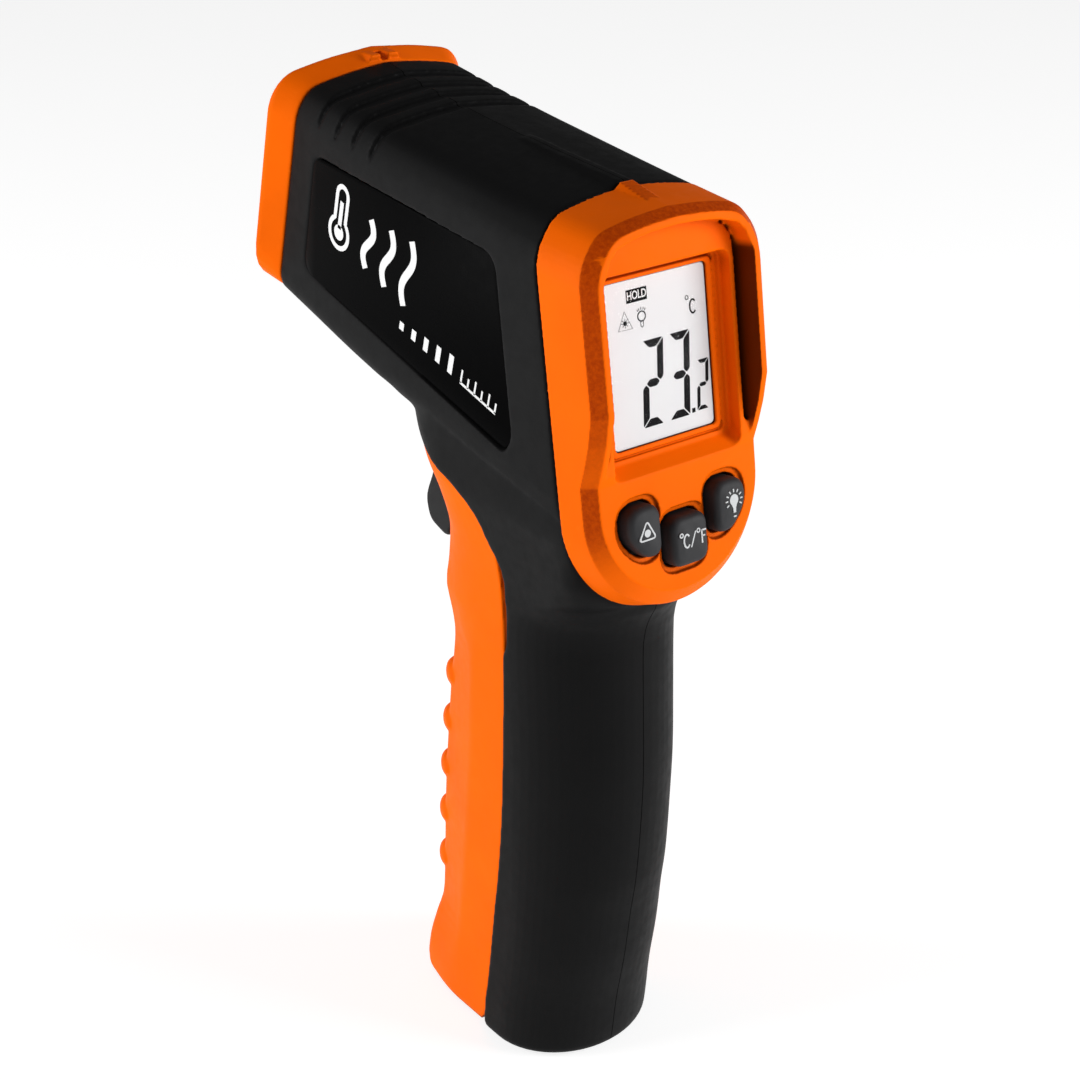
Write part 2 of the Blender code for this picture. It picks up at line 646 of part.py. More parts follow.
def build_nose():
    """Orange nose ring round the black front bezel, whose cone looks out at the target."""
    stages = ((77.2, 17.2, 12.5, 4.4, -28.5), (77.9, 17.5, 12.6, 4.6, -28.6), (81.6, 19.5, 13.0, 7.6, -29.0),
              (82.3, 19.0, 12.6, 7.4, -28.5))
    rings = [[BARREL_ALONG @ Vector((x, up, reach))
              for x, up in barrel_outline(width, top, 2.6, 3.9, 0.87, bend, bottom)]
             for reach, width, top, bend, bottom in stages]
    ring = loft("nose_ring", rings)
    opening = barrel_outline(*NOSE_SECTION, inset=2.0)
    cut(ring, prism("opening", opening, (70, 90), BARREL_ALONG))
    ring.data.materials.clear()
    ring.data.materials.append(orange_plastic())

    plate = barrel_outline(*NOSE_SECTION, inset=2.0 + GAP)
    bezel = prism("front_bezel", plate, (79.0, 80.8), BARREL_ALONG)
    centre = BARREL_ALONG @ Vector((0, OPTICS_HEIGHT, 0))
    cut(bezel, cylinder("aperture", 12.0, (70, 90), (0, OPTICS_HEIGHT), BARREL_ALONG))
    cone = ((12.5, 79.0), (12.5, 80.8), (11.2, 81.6), (10.6, 81.4), (6.4, 67.6), (7.9, 67.2), (7.9, 61.5),
            (9.2, 61.5), (9.2, 69.0))
    join(bezel, lathe("cone", cone, centre, BARREL_ALONG))
    cut(bezel, cylinder("laser_hole", 2.2, (70, 90), (0, LASER_HEIGHT), BARREL_ALONG, segments=16))
    bezel.data.materials.clear()
    bezel.data.materials.append(black_plastic())

    lens = ((0, 64.2), (7.5, 64.2), (7.5, 65.6), (4.0, 66.3), (0, 66.6))
    lathe("infrared_lens", lens, centre, BARREL_ALONG, material("infrared_lens", (0.75, 0.72, 0.65), 0.25))
    retainer = ((5.6, 62.0), (7.5, 62.0), (7.5, 63.9), (5.6, 63.9))
    lathe("lens_retainer", retainer, centre, BARREL_ALONG, black_plastic())
    holder = ((5.1, 51.2), (8.0, 51.2), (8.0, 61.1), (6.0, 61.1), (5.1, 56.0))
    lathe("sensor_holder", holder, centre, BARREL_ALONG, material("aluminium", (0.8, 0.8, 0.8), 0.35, 1.0))
    sensor = ((0, 50.2), (4.7, 50.2), (4.7, 50.9), (4.1, 50.9), (4.1, 54.6), (3.4, 55.0), (0, 55.0))
    lathe("thermopile_sensor", sensor, centre, BARREL_ALONG,
          material("sensor_can", (0.7, 0.68, 0.6), 0.25, 1.0))
    board = prism("sensor_board", fillet(rectangle(9.5, 8.5, (0, OPTICS_HEIGHT)), 1.5, 2), (48.3, 49.9),
                  BARREL_ALONG, circuit_board())
    board.data.materials.clear()
    board.data.materials.append(circuit_board())
    beam = BARREL_ALONG @ Vector((0, LASER_HEIGHT, 0))
    laser = ((0, 65.0), (3.0, 65.0), (3.0, 77.5), (2.4, 78.0), (1.2, 78.0), (1.2, 76.8), (0, 76.8))
    lathe("laser_module", laser, beam, BARREL_ALONG, material("brass", (0.75, 0.55, 0.22), 0.3, 1.0))


def build_labels():
    """Gloss black side panels set in the shells."""
    look = material("label_gloss", (0.003, 0.003, 0.003), 0.12)
    for side, name in ((-1, "left_label"), (1, "right_label")):
        prism(name, label_outline(0.35), (side * 16.9, side * 17.3), BARREL_SIDEWAYS, look)


def build_trigger():
    """Trigger lever on its pin, with its return spring, switch and switch board."""
    y, z = TRIGGER_PIVOT
    corners = ((y + 3.0, z + 2.6), (y + 4.4, z - 3.0), (50.0, -27.0), (52.8, -35.2), (55.5, -41.2),
               (54.2, -45.2), (49.0, -47.0), (46.0, -41.0), (42.2, -32.0), (y - 2.6, z - 6.0),
               (32.0, z - 2.4), (30.6, z - 1.0), (30.6, z + 1.3), (37.4, z + 1.3), (y - 2.0, z + 2.6))
    bends = (1.5, 3.0, 6.0, 8.0, 2.2, 1.5, 1.6, 3.0, 5.0, 3.0, 0.8, 0.8, 0.6, 1.0, 1.0)
    look = material("trigger_plastic", (0.02, 0.02, 0.021), 0.45)
    trigger = prism("trigger", fillet(corners, bends, 3), (-5.5, 5.5), SIDEWAYS)
    cut(trigger, cylinder("bore", 1.3, (-20, 20), TRIGGER_PIVOT, SIDEWAYS, segments=16))
    trigger.data.materials.clear()
    trigger.data.materials.append(look)
    set_pivot(trigger, (0, y, z))
    cylinder("trigger_pin", 1.0, (-12.0, 12.0), TRIGGER_PIVOT, SIDEWAYS, steel(), 16)
    coil("trigger_spring", steel(), (-2.8, 33.6, 0), UPRIGHT, 1.9, 0.3, (-11.8, -4.9), 5)
    prism("switch_board", rectangle(8.0, 6.5, (0, 34.0)), (-4.6, -3.0), UPRIGHT, circuit_board())
    switch = prism("trigger_switch", rectangle(2.4, 2.4, (2.8, 33.6)), (-8.4, -4.9), UPRIGHT)
    join(switch, cylinder("plunger", 1.2, (-10.4, -8.0), (2.8, 33.6), UPRIGHT, segments=12))
    switch.data.materials.append(material("switch_plastic", (0.03, 0.03, 0.03), 0.5))


def build_batteries():
    """Two cells side by side in a tray, with a spring and a plate at opposite ends of each."""
    floor = -123.5
    top = floor + CELL_LENGTH + 9.0
    outer = ((22.2, floor - 1.5), (33.0, floor - 1.5), (33.0, floor), (23.8, floor), (23.8, top), (33.0, top),
             (33.0, top + 1.5), (22.2, top + 1.5))
    prism("battery_tray", outer, (-11.2, 11.2), SIDEWAYS, black_plastic())
    wrap = material("cell_wrap", (0.05, 0.09, 0.25), 0.35)
    for side, name in ((-1, "battery_cell_left"), (1, "battery_cell_right")):
        centre = (side * CELL_X, CELL_Y, 0)
        sign = 1 if side < 0 else -1
        spring_foot = floor + GAP if side < 0 else top - GAP
        plate_foot = top - GAP if side < 0 else floor + GAP
        turned = UPRIGHT if side < 0 else axes(X_AXIS, Vector((0, -1, 0)), Vector((0, 0, -1)))
        base = (centre[0], centre[1], spring_foot)
        coil(name.replace("cell", "spring"), steel(), base, turned, 3.6, 0.35, (0.0, 7.1), 4, 1.5)
        cell = ((0, 7.4), (CELL_RADIUS - 0.3, 7.4), (CELL_RADIUS, 7.8), (CELL_RADIUS, 50.4),
                (CELL_RADIUS - 0.5, 51.0), (1.9, 51.0), (1.9, 51.9), (0, 51.9))
        lathe(name, cell, base, turned, wrap, 20)
        prism(name.replace("cell", "contact"), rectangle(3.6, 3.2, (centre[0], CELL_Y)),
              (plate_foot - sign * 0.6, plate_foot), UPRIGHT, steel())


def build_shell_screws():
    """Screws that hold the two shells together, put in from the right."""
    for name, (y, z), reach, head in post_places():
        profile = ((0, head), (1.2, head), (2.3, head - 0.6), (2.3, head - 2.1), (1.2, head - 2.1),
                   (1.2, 3.0 - head), (0, 2.2 - head))
        lathe(f"{name}_screw", profile, (0, y, z), SIDEWAYS, steel(), 16)


def main():
    for leftover in list(bpy.data.objects):
        bpy.data.objects.remove(leftover)
    build_shells()
    build_door()
    build_housing()
    build_keys()
    build_display_stack()
    build_main_board()
    build_nose()
    build_labels()
    build_trigger()
    build_batteries()
    build_shell_screws()


main()
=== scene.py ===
"""Looks of a pistol-grip infrared thermometer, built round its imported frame.

Shapes are in millimetres from the centre of the display: +X to the user's right, +Y forward to the nose
and +Z up along the grip. world() turns them into metres in the frame. The barrel points up by BARREL_RISE,
and the display leans back by DISPLAY_LEAN. Each has its own set of axes below.
"""

import math

import bmesh
import bpy
import numpy as np
from mathutils import Matrix, Vector

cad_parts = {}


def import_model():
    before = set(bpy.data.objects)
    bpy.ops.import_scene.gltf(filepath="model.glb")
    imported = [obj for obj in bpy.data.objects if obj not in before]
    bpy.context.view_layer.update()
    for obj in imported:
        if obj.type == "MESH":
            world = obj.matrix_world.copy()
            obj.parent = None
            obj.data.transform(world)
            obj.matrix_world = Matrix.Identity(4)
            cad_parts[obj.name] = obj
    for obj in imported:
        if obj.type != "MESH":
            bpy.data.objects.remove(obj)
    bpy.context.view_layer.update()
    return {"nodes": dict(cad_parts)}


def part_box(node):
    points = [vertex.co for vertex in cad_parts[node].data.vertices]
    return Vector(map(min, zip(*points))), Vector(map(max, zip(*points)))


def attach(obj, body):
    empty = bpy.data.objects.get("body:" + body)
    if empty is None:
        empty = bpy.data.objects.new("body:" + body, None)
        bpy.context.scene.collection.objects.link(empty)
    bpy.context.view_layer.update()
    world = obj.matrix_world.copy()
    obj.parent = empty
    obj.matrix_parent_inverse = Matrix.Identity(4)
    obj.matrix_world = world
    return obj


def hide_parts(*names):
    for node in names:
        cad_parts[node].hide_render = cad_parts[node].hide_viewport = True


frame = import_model()

MM = 0.001
GAP = 0.3
WALL = 2.0
BARREL_RISE = math.radians(15.0)
DISPLAY_LEAN = math.radians(8.68)

X_AXIS = Vector((1, 0, 0))
AIM = Vector((0, math.cos(BARREL_RISE), math.sin(BARREL_RISE)))
AIM_UP = Vector((0, -math.sin(BARREL_RISE), math.cos(BARREL_RISE)))
FACE_UP = Vector((0, math.sin(DISPLAY_LEAN), math.cos(DISPLAY_LEAN)))
FACE_OUT = Vector((0, -math.cos(DISPLAY_LEAN), math.sin(DISPLAY_LEAN)))


def axes(first, second, third):
    """Matrix that takes coordinates along three directions to display coordinates."""
    return Matrix((first, second, third)).transposed()


SIDEWAYS = axes(Vector((0, 1, 0)), Vector((0, 0, 1)), X_AXIS)
BARREL_SIDEWAYS = axes(AIM, AIM_UP, X_AXIS)
BARREL_ALONG = axes(X_AXIS, AIM_UP, AIM)
FACE = axes(X_AXIS, FACE_UP, FACE_OUT)

# The display window of the frame gives the origin: its middle lies this far behind the display's plane.
WINDOW_DEPTH = 0.4
window_low, window_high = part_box("display_window")
ORIGIN = (window_low + window_high) / 2 + FACE_OUT * WINDOW_DEPTH * MM
BASE_Z = -ORIGIN.z / MM

# Barrel: distance along it, rake of the section, half width, top, fall of the roof from the centre to the
# shoulders, drop from there to the sides, place of the shoulders as a share of the half width, and radius of
# the lower corners, from the nose back to the joint with the display housing.
BARREL_UNDERSIDE = -28.6
BARREL_STATIONS = (
    (76.9, 0.0, 17.2, 12.5, 2.4, 3.9, 0.87, 4.0),
    (66.0, 0.0, 17.35, 13.4, 2.0, 4.2, 0.86, 4.0),
    (57.0, 0.0, 17.5, 14.6, 2.0, 4.5, 0.85, 4.0),
    (32.0, 0.2, 17.75, 17.9, 2.0, 4.9, 0.82, 6.0),
    (5.72, 0.4389, 18.0, 21.3, 1.95, 4.9, 0.78, 9.0),
)
POD_RADIUS = 18.0
POD_CENTRE_Z = -22.3
# Grip: heights against the rear centre line, the half width, the depth of the rounded back, the crease down
# each side of the door, the door's front corner and how far the door bulges beyond it.
REAR_LINE = ((-135, 9.4), (-133.6, 8.7), (-124, 7.4), (-112, 5.2), (-103, 4.0), (-95, 2.7), (-83, 1.8),
             (-75, 1.5), (-62, 1.9), (-50, 2.3), (-47, 1.8), (-44.6, 0.9), (-42.2, -0.4), (-40.3, -0.87),
             (-10, 3.8))
HALF_WIDTH = ((-135, 15.2), (-133.6, 15.4), (-128, 15.4), (-118, 15.1), (-60, 15.0), (-50, 15.1), (-42, 15.5),
              (-38, 16.0), (-34, 16.6), (-30, 17.2), (-26, 17.8), (-22, 17.6), (-10, 17.0))
BACK_DEPTH = ((-135, 13.0), (-110, 14.0), (-80, 16.0), (-46, 16.0), (-42, 13.0), (-39.5, 9.0), (-37, 6.0),
              (-34, 3.5), (-10, 3.0))
CREASE_LINE = ((-135, 39.0), (-128, 37.6), (-119, 35.2), (-98, 32.7), (-70, 30.5), (-60, 30.3), (-53, 31.5),
               (-49, 33.0), (-38, 32.6), (-30, 35.0), (-22, 39.5), (-10, 43.0))
CORNER_LINE = ((-135, 45.5), (-133.6, 47.2), (-131, 48.1), (-127, 47.7), (-121, 46.1), (-116, 44.7),
               (-93, 43.4), (-72, 41.3), (-57, 39.4), (-53.5, 39.6), (-49.5, 40.4), (-44, 39.4), (-38, 38.8),
               (-34, 40.0), (-30, 42.2), (-26, 45.0), (-22, 46.5), (-10, 50.0))
CORNER_X = ((-135, 12.8), (-128, 12.4), (-121, 11.8), (-114, 11.0), (-60, 11.0), (-50, 12.0), (-10, 12.0))
CREASE_REACH = ((-135, 4.0), (-128, 3.0), (-120, 1.0), (-60, 1.0), (-51, 6.0), (-10, 6.0))
FRONT_BULGE = 2.6
FOOT_ROUNDING = 2.4
# Edge between the black shells and the orange door, seen from the side, from the barrel to the base. The
# two edges part at the finger pull and at the foot.
EDGE_TOP = ((46.0, -18.0), (42.4, -20.8), (36.5, -24.6), (31.4, -26.2), (27.6, -28.1), (24.3, -30.9),
            (22.2, -34.4))
EDGE_BELOW = ((20.4, -55.5), (20.5, -66.0), (21.1, -84.0), (22.1, -96.0), (23.8, -110.0), (25.9, -127.0))
FINGER_PULL = ((20.4, -36.8), (19.3, -39.5), (19.0, -47.0), (19.3, -52.5))
SHELL_EDGE = EDGE_TOP + FINGER_PULL + EDGE_BELOW + ((26.6, -135.5),)
DOOR_EDGE = EDGE_TOP + ((20.9, -38.0),) + EDGE_BELOW + ((26.3, -131.5),)
BELOW_BASE = -140.0
DOOR_HINGE = (30.0, -131.2)
DOOR_INSET = 0.55
RIB_TOP = -68.5
RIB_PITCH = 9.9
RIB_COUNT = 5
RIB_RADIUS = 2.5
TRIGGER_PIVOT = (42.0, -13.5)
SLOT_HALF_WIDTH = 6.3
BARREL_POSTS = ((43.0, 0.0), (58.0, -24.0))
GRIP_POSTS = ((13.5, -52.0), (17.0, -124.5))
OPTICS_HEIGHT = -11.0
LASER_HEIGHT = 4.7
# Display housing, in face coordinates.
DISPLAY_HALF = (10.1, 12.75)
RECESS_FLOOR = 0.2
PANEL_FRONT = 2.8
HOOD_INNER = 14.55
HOOD_BACK = -4.94
RIM_TOP = 6.25
PLATE_FRONT = 2.2
KEY_TOP = 4.4
RIM_LINE = ((-16.4, PLATE_FRONT), (-13.0, 3.7), (-9.6, 5.0), (-5.0, RIM_TOP))


# ---------------------------------------------------------------- outlines

def world(point):
    return ORIGIN + Vector(point) * MM


def along(value, table):
    """Straight-line interpolation in a table of (position, value) pairs with rising positions."""
    for (low, first), (high, second) in zip(table, table[1:]):
        if value <= high:
            share = max(0.0, (value - low) / (high - low))
            return first + (second - first) * share
    return table[-1][1]


def eased(table):
    """Smooth curve through a table of (position, value) pairs that never overshoots it."""
    places = np.array([row[0] for row in table], float)
    values = np.array([row[1] for row in table], float)
    steps = np.diff(places)
    slopes = np.diff(values) / steps
    tangents = np.zeros(len(table))
    tangents[0], tangents[-1] = slopes[0], slopes[-1]
    for index in range(1, len(table) - 1):
        before, after = slopes[index - 1], slopes[index]
        if before * after > 0:
            tangents[index] = 2 * before * after / (before + after)

    def curve(value):
        index = int(np.clip(np.searchsorted(places, value) - 1, 0, len(steps) - 1))
        share = min(1.0, max(0.0, (value - places[index]) / steps[index]))
        rise, run = values[index + 1] - values[index], steps[index]
        start, end = tangents[index] * run, tangents[index + 1] * run
        cubic = share * share * (3 - 2 * share)
        lean = share * (1 - share)
        return float(values[index] + rise * cubic + lean * ((1 - share) * start - share * end))

    return curve


def smooth_path(points, steps=5):
    """Catmull-Rom curve through a run of points."""
    ends = [points[0], *points, points[-1]]
    path = []
    for a, b, c, d in zip(ends, ends[1:], ends[2:], ends[3:]):
        a, b, c, d = Vector(a), Vector(b), Vector(c), Vector(d)
        for step in range(steps):
            t = step / steps
            path.append(tuple(0.5 * (2 * b + (c - a) * t + (2 * a - 5 * b + 4 * c - d) * t * t
                                     + (3 * b - a - 3 * c + d) * t * t * t)))
    return path + [tuple(points[-1])]


def corner_arc(before, corner, after, reach, steps=6):
    """Rounded corner that starts and ends at about the reach from the sharp one."""
    before, corner, after = Vector(before), Vector(corner), Vector(after)
    start = corner + (before - corner) * min(0.48, reach / (before - corner).length)
    end = corner + (after - corner) * min(0.48, reach / (after - corner).length)
    arc = []
    for step in range(steps + 1):
        t = step / steps
        arc.append(tuple(start * (1 - t) ** 2 + corner * 2 * t * (1 - t) + end * t * t))
    return arc


def bent(points, reaches):
    """Open line from the first point, with each later corner that has a reach rounded by it."""
    line = [points[0]]
    for index, reach in enumerate(reaches, 1):
        line += corner_arc(points[index - 1], points[index], points[index + 1], reach)
    return line


def rounded(points, reach, steps=6):
    """Closed outline with each corner rounded; reach is one value or one for each corner."""
    reaches = reach if isinstance(reach, (list, tuple)) else [reach] * len(points)
    outline = []
    for index, bend in enumerate(reaches):
        after = points[(index + 1) % len(points)]
        outline += corner_arc(points[index - 1], points[index], after, bend, steps)
    return outline


def mirrored(half):
    """Closed outline from its right half, which starts and ends on the centre line."""
    return list(half) + [(-x, y) for x, y in reversed(half[1:-1])]


def grown(outline, amount):
    """Outline moved outward from its middle by about the amount given."""
    middle = sum((Vector(point) for point in outline), Vector((0, 0))) / len(outline)
    moved = []
    for point in outline:
        out = Vector(point) - middle
        moved.append(tuple(middle + out * (1 + amount / out.length)))
    return moved


def rectangle(half_width, half_height, centre=(0.0, 0.0)):
    x, y = centre
    return [(x - half_width, y - half_height), (x + half_width, y - half_height),
            (x + half_width, y + half_height), (x - half_width, y + half_height)]


def turns(whole, count):
    """Angles from zero to the whole one in even steps."""
    return [whole * step / count for step in range(count + 1)]


def circle(radius, centre=(0.0, 0.0), segments=32):
    return [(centre[0] + radius * math.cos(turn), centre[1] + radius * math.sin(turn))
            for turn in turns(2 * math.pi, segments)[:-1]]


# ---------------------------------------------------------------- solids

SHARP_EDGE = math.radians(35.0)


def finish_mesh(name, bm, look=None):
    """Turns a bmesh into an object with outward faces and smooth shading between its sharp edges."""
    bmesh.ops.recalc_face_normals(bm, faces=bm.faces)
    mesh = bpy.data.meshes.new(name)
    bm.to_mesh(mesh)
    bm.free()
    mesh.shade_smooth()
    mesh.set_sharp_from_angle(angle=SHARP_EDGE)
    if look:
        mesh.materials.append(look)
    made = bpy.data.objects.new(name, mesh)
    bpy.context.scene.collection.objects.link(made)
    return made


def bridge(bm, lower, upper):
    """Band of quads between two rings of equal length."""
    for index in range(len(lower)):
        after = (index + 1) % len(lower)
        bm.faces.new((lower[index], lower[after], upper[after], upper[index]))


def loft(name, rings, look=None, rungs=False):
    """Solid through closed rings of equal length. Its ends are flat, or strips across mirrored rings."""
    bm = bmesh.new()
    rows = [[bm.verts.new(world(point)) for point in ring] for ring in rings]
    for lower, upper in zip(rows, rows[1:]):
        bridge(bm, lower, upper)
    if rungs:
        for row in (rows[0], rows[-1]):
            cap_with_rungs(bm, row)
    else:
        bm.faces.new(reversed(rows[0]))
        bm.faces.new(rows[-1])
    return finish_mesh(name, bm, look)


def cap_with_rungs(bm, row):
    """Closes a mirrored ring that isn't flat with strips from each point to its mirror image."""
    count = len(row)
    for index in range(count // 2):
        corners = (row[index], row[index + 1], row[-index - 1], row[-index % count])
        kept = [corner for place, corner in enumerate(corners) if corner is not corners[place - 1]]
        bm.faces.new(kept)


def prism(name, outline, span, directions, look=None, origin=(0, 0, 0)):
    """Solid from an outline on the first two directions, drawn out over a span of the third."""
    base = Vector(origin)
    rings = [[base + directions @ Vector((a, b, c)) for a, b in outline] for c in span]
    return loft(name, rings, look)


def lathe(name, profile, centre, directions, look=None, segments=72):
    """Closed profile of (radius, distance) turned about the third direction through the centre."""
    bm = bmesh.new()
    base = Vector(centre)
    rows = []
    for radius, distance in profile:
        if radius <= 0:
            rows.append([bm.verts.new(world(base + directions @ Vector((0, 0, distance))))])
            continue
        ring = circle(radius, segments=segments)
        rows.append([bm.verts.new(world(base + directions @ Vector((a, b, distance)))) for a, b in ring])
    for row, following in zip(rows, rows[1:] + rows[:1]):
        for index in range(segments):
            after = (index + 1) % segments
            corners = [row[index % len(row)], row[after % len(row)],
                       following[after % len(following)], following[index % len(following)]]
            kept = [corner for place, corner in enumerate(corners) if corner is not corners[place - 1]]
            if len(kept) > 2:
                bm.faces.new(kept)
    return finish_mesh(name, bm, look)


def cylinder(name, radius, span, centre, directions, segments=32):
    outline = circle(radius, segments=segments)
    return prism(name, outline, span, directions, origin=directions @ Vector((centre[0], centre[1], 0)))


def hand_over(piece, body, node):
    """Lets the piece ride on a body in place of a node of the frame."""
    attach(piece, body)
    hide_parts(node)


def dress(mesh, look):
    """Gives a mesh one material."""
    mesh.materials.clear()
    mesh.materials.append(look)


def settle(target):
    """Replaces an object's mesh with the result of its modifiers."""
    evaluated = target.evaluated_get(bpy.context.evaluated_depsgraph_get())
    mesh = bpy.data.meshes.new_from_object(evaluated)
    target.modifiers.clear()
    target.data = mesh


def boolean(target, operation, *tools):
    """Applies one Boolean for each tool and removes the tool."""
    for tool in tools:
        modifier = target.modifiers.new("shape", "BOOLEAN")
        modifier.operation = operation
        modifier.solver = "EXACT"
        modifier.object = tool
        settle(target)
        bpy.data.objects.remove(tool)
    return target


def cut(target, *tools):
    return boolean(target, "DIFFERENCE", *tools)


def join(target, *tools):
    return boolean(target, "UNION", *tools)


def duplicate(source, name):
    made = source.copy()
    made.data = source.data.copy()
    made.name = name
    bpy.context.scene.collection.objects.link(made)
    return made


def soften(piece, size, rounds=2, keep=1.0, look=None):
    """Rebuilds a solid as an even fine mesh, which rounds its edges by about the size, then thins it."""
    even = piece.modifiers.new("even", "REMESH")
    even.mode = "VOXEL"
    even.voxel_size = size * MM
    even.use_smooth_shade = True
    ease = piece.modifiers.new("ease", "SMOOTH")
    ease.factor = 0.5
    ease.iterations = rounds
    settle(piece)
    if keep < 1.0:
        thin(piece, keep)
    piece.data.materials.clear()
    if look:
        piece.data.materials.append(look)
    piece.data.shade_smooth()
    return piece


def thin(piece, keep):
    """Drops triangles where the surface is flattest."""
    modifier = piece.modifiers.new("thin", "DECIMATE")
    modifier.ratio = keep
    settle(piece)
    piece.data.shade_smooth()


def vertex_rows(mesh, name):
    """Places or normals of a mesh's vertices, one row each."""
    values = np.empty(len(mesh.vertices) * 3)
    mesh.vertices.foreach_get(name, values)
    return values.reshape(-1, 3)


def relax(piece, weight, rounds):
    """Evens out the surface where weight(points in display millimetres) is above zero."""
    mesh = piece.data
    count = len(mesh.vertices)
    places = vertex_rows(mesh, "co")
    pairs = np.empty(len(mesh.edges) * 2, int)
    mesh.edges.foreach_get("vertices", pairs)
    first, second = pairs[0::2], pairs[1::2]
    ends = np.concatenate((first, second))
    others = np.concatenate((second, first))
    neighbours = np.bincount(ends, minlength=count).astype(float)
    share = weight((places - np.array(ORIGIN)) / MM)[:, None] * 0.5
    for _ in range(rounds):
        sums = np.stack([np.bincount(ends, places[others, axis], count) for axis in range(3)], axis=1)
        places += share * (sums / neighbours[:, None] - places)
    mesh.vertices.foreach_set("co", places.ravel())
    mesh.update()


def away_from(points, path):
    """Distance of points from a run of straight segments, all in two dimensions."""
    nearest = np.full(len(points), 1e9)
    for start, end in zip(path, path[1:]):
        a, b = np.array(start, float), np.array(end, float)
        share = np.clip((points - a) @ (b - a) / ((b - a) @ (b - a)), 0, 1)
        nearest = np.minimum(nearest, np.linalg.norm(points - a - share[:, None] * (b - a), axis=1))
    return nearest


def fade(value, full, none):
    """1 up to full, falling smoothly to 0 at none."""
    share = np.clip((none - value) / (none - full), 0, 1)
    return share * share * (3 - 2 * share)


# ---------------------------------------------------------------- materials

def new_material(name):
    """A new material, its node tree, its shader and its object coordinates."""
    made = bpy.data.materials.new(name)
    made.use_nodes = True
    tree = made.node_tree
    return made, tree, tree.nodes["Principled BSDF"], tree.nodes.new("ShaderNodeTexCoord").outputs["Object"]


def noise(tree, coordinates, scale, detail=3.0, roughness=0.5):
    node = tree.nodes.new("ShaderNodeTexNoise")
    node.inputs["Scale"].default_value = scale
    node.inputs["Detail"].default_value = detail
    node.inputs["Roughness"].default_value = roughness
    tree.links.new(coordinates, node.inputs["Vector"])
    return node.outputs["Fac"]


def remap(tree, value, low, high, new_low, new_high):
    node = tree.nodes.new("ShaderNodeMapRange")
    node.inputs["From Min"].default_value = low
    node.inputs["From Max"].default_value = high
    node.inputs["To Min"].default_value = new_low
    node.inputs["To Max"].default_value = new_high
    tree.links.new(value, node.inputs["Value"])
    return node.outputs["Result"]


def mixed(tree, factor, first, second):
    """Colour between two colours or colour outputs."""
    node = tree.nodes.new("ShaderNodeMix")
    node.data_type = "RGBA"
    tree.links.new(factor, node.inputs["Factor"])
    colours = [socket for socket in node.inputs if socket.type == "RGBA"]
    for socket, value in zip(colours, (first, second)):
        if isinstance(value, tuple):
            socket.default_value = (*value, 1.0)
        else:
            tree.links.new(value, socket)
    return next(socket for socket in node.outputs if socket.type == "RGBA")


def raised(tree, height, strength, distance):
    node = tree.nodes.new("ShaderNodeBump")
    node.inputs["Strength"].default_value = strength
    node.inputs["Distance"].default_value = distance * MM
    tree.links.new(height, node.inputs["Height"])
    return node.outputs["Normal"]


# Range of Pointiness over which an edge counts as rubbed and takes a painted edge highlight, the reach and
# range of the painted shade in recesses, and the share of the colour that painted shade keeps.
EDGE_WEAR_AND_HIGHLIGHT = (0.57, 0.72)
PAINTED_SHADE_REACH = 5.0
PAINTED_SHADE_RANGE = (0.22, 0.66)
PAINTED_SHADE_TONE = 0.1


def moulded(name, colour, wear_and_highlight, roughness, spread=0.06, grain=3600.0, depth=0.02, strength=0.35, edge=0.5,
            specular=0.5, occlusion_shade=1.0, band=None):
    """Moulded plastic: fine spark texture, slow drift of tone and finish, rubbed edges with a painted edge
    highlight, and painted shade in recesses from ambient occlusion. The band colour is a painted shade,
    speckled with a coarser texture, that goes where the mesh has a painted_shade_band value. A darker painted
    shade goes where it has a painted_shade_wall value."""
    made, tree, shader, place = new_material(name)
    drift = noise(tree, place, 55.0, 4.0)
    blotch = noise(tree, place, 420.0, 5.0, 0.6)
    fine = noise(tree, place, grain, 2.0, 0.6)
    darker = tuple(channel * 0.86 for channel in colour)
    tone = mixed(tree, remap(tree, drift, 0.3, 0.7, 0.0, 1.0), darker, colour)
    # Convex edges turn lighter: wear, with a painted edge highlight.
    if edge > 0.0:
        bend = tree.nodes.new("ShaderNodeNewGeometry").outputs["Pointiness"]
        tone = mixed(tree, remap(tree, bend, *EDGE_WEAR_AND_HIGHLIGHT, 0.0, edge), tone, wear_and_highlight)
    # Painted shade: the bevel band takes a darker speckled colour, and the hood's inner walls a near-black
    # one.
    if band:
        here = tree.nodes.new("ShaderNodeAttribute")
        here.attribute_name = "painted_shade_band"
        speckle = remap(tree, noise(tree, place, 1500.0, 3.0, 0.7), 0.35, 0.65, 0.7, 1.0)
        amount = tree.nodes.new("ShaderNodeMath")
        amount.operation = "MULTIPLY"
        tree.links.new(here.outputs["Fac"], amount.inputs[0])
        tree.links.new(speckle, amount.inputs[1])
        tone = mixed(tree, amount.outputs[0], tone, band)
        shaded = tree.nodes.new("ShaderNodeAttribute")
        shaded.attribute_name = "painted_shade_wall"
        tone = mixed(tree, shaded.outputs["Fac"], tone, tuple(channel * PAINTED_SHADE_TONE for channel in band))
    # Painted shade: recesses darkened by ambient occlusion.
    if occlusion_shade < 1.0:
        open_sky = tree.nodes.new("ShaderNodeAmbientOcclusion")
        open_sky.samples = 8
        open_sky.inputs["Distance"].default_value = PAINTED_SHADE_REACH * MM
        painted_recess_shade = remap(tree, open_sky.outputs["AO"], *PAINTED_SHADE_RANGE, occlusion_shade, 0.0)
        tone = mixed(tree, painted_recess_shade, tone, tuple(channel * PAINTED_SHADE_TONE for channel in colour))
    tree.links.new(tone, shader.inputs["Base Color"])
    finish = remap(tree, blotch, 0.3, 0.7, roughness - spread, roughness + spread)
    tree.links.new(finish, shader.inputs["Roughness"])
    tree.links.new(raised(tree, fine, strength, depth), shader.inputs["Normal"])
    shader.inputs["Specular IOR Level"].default_value = specular
    return made


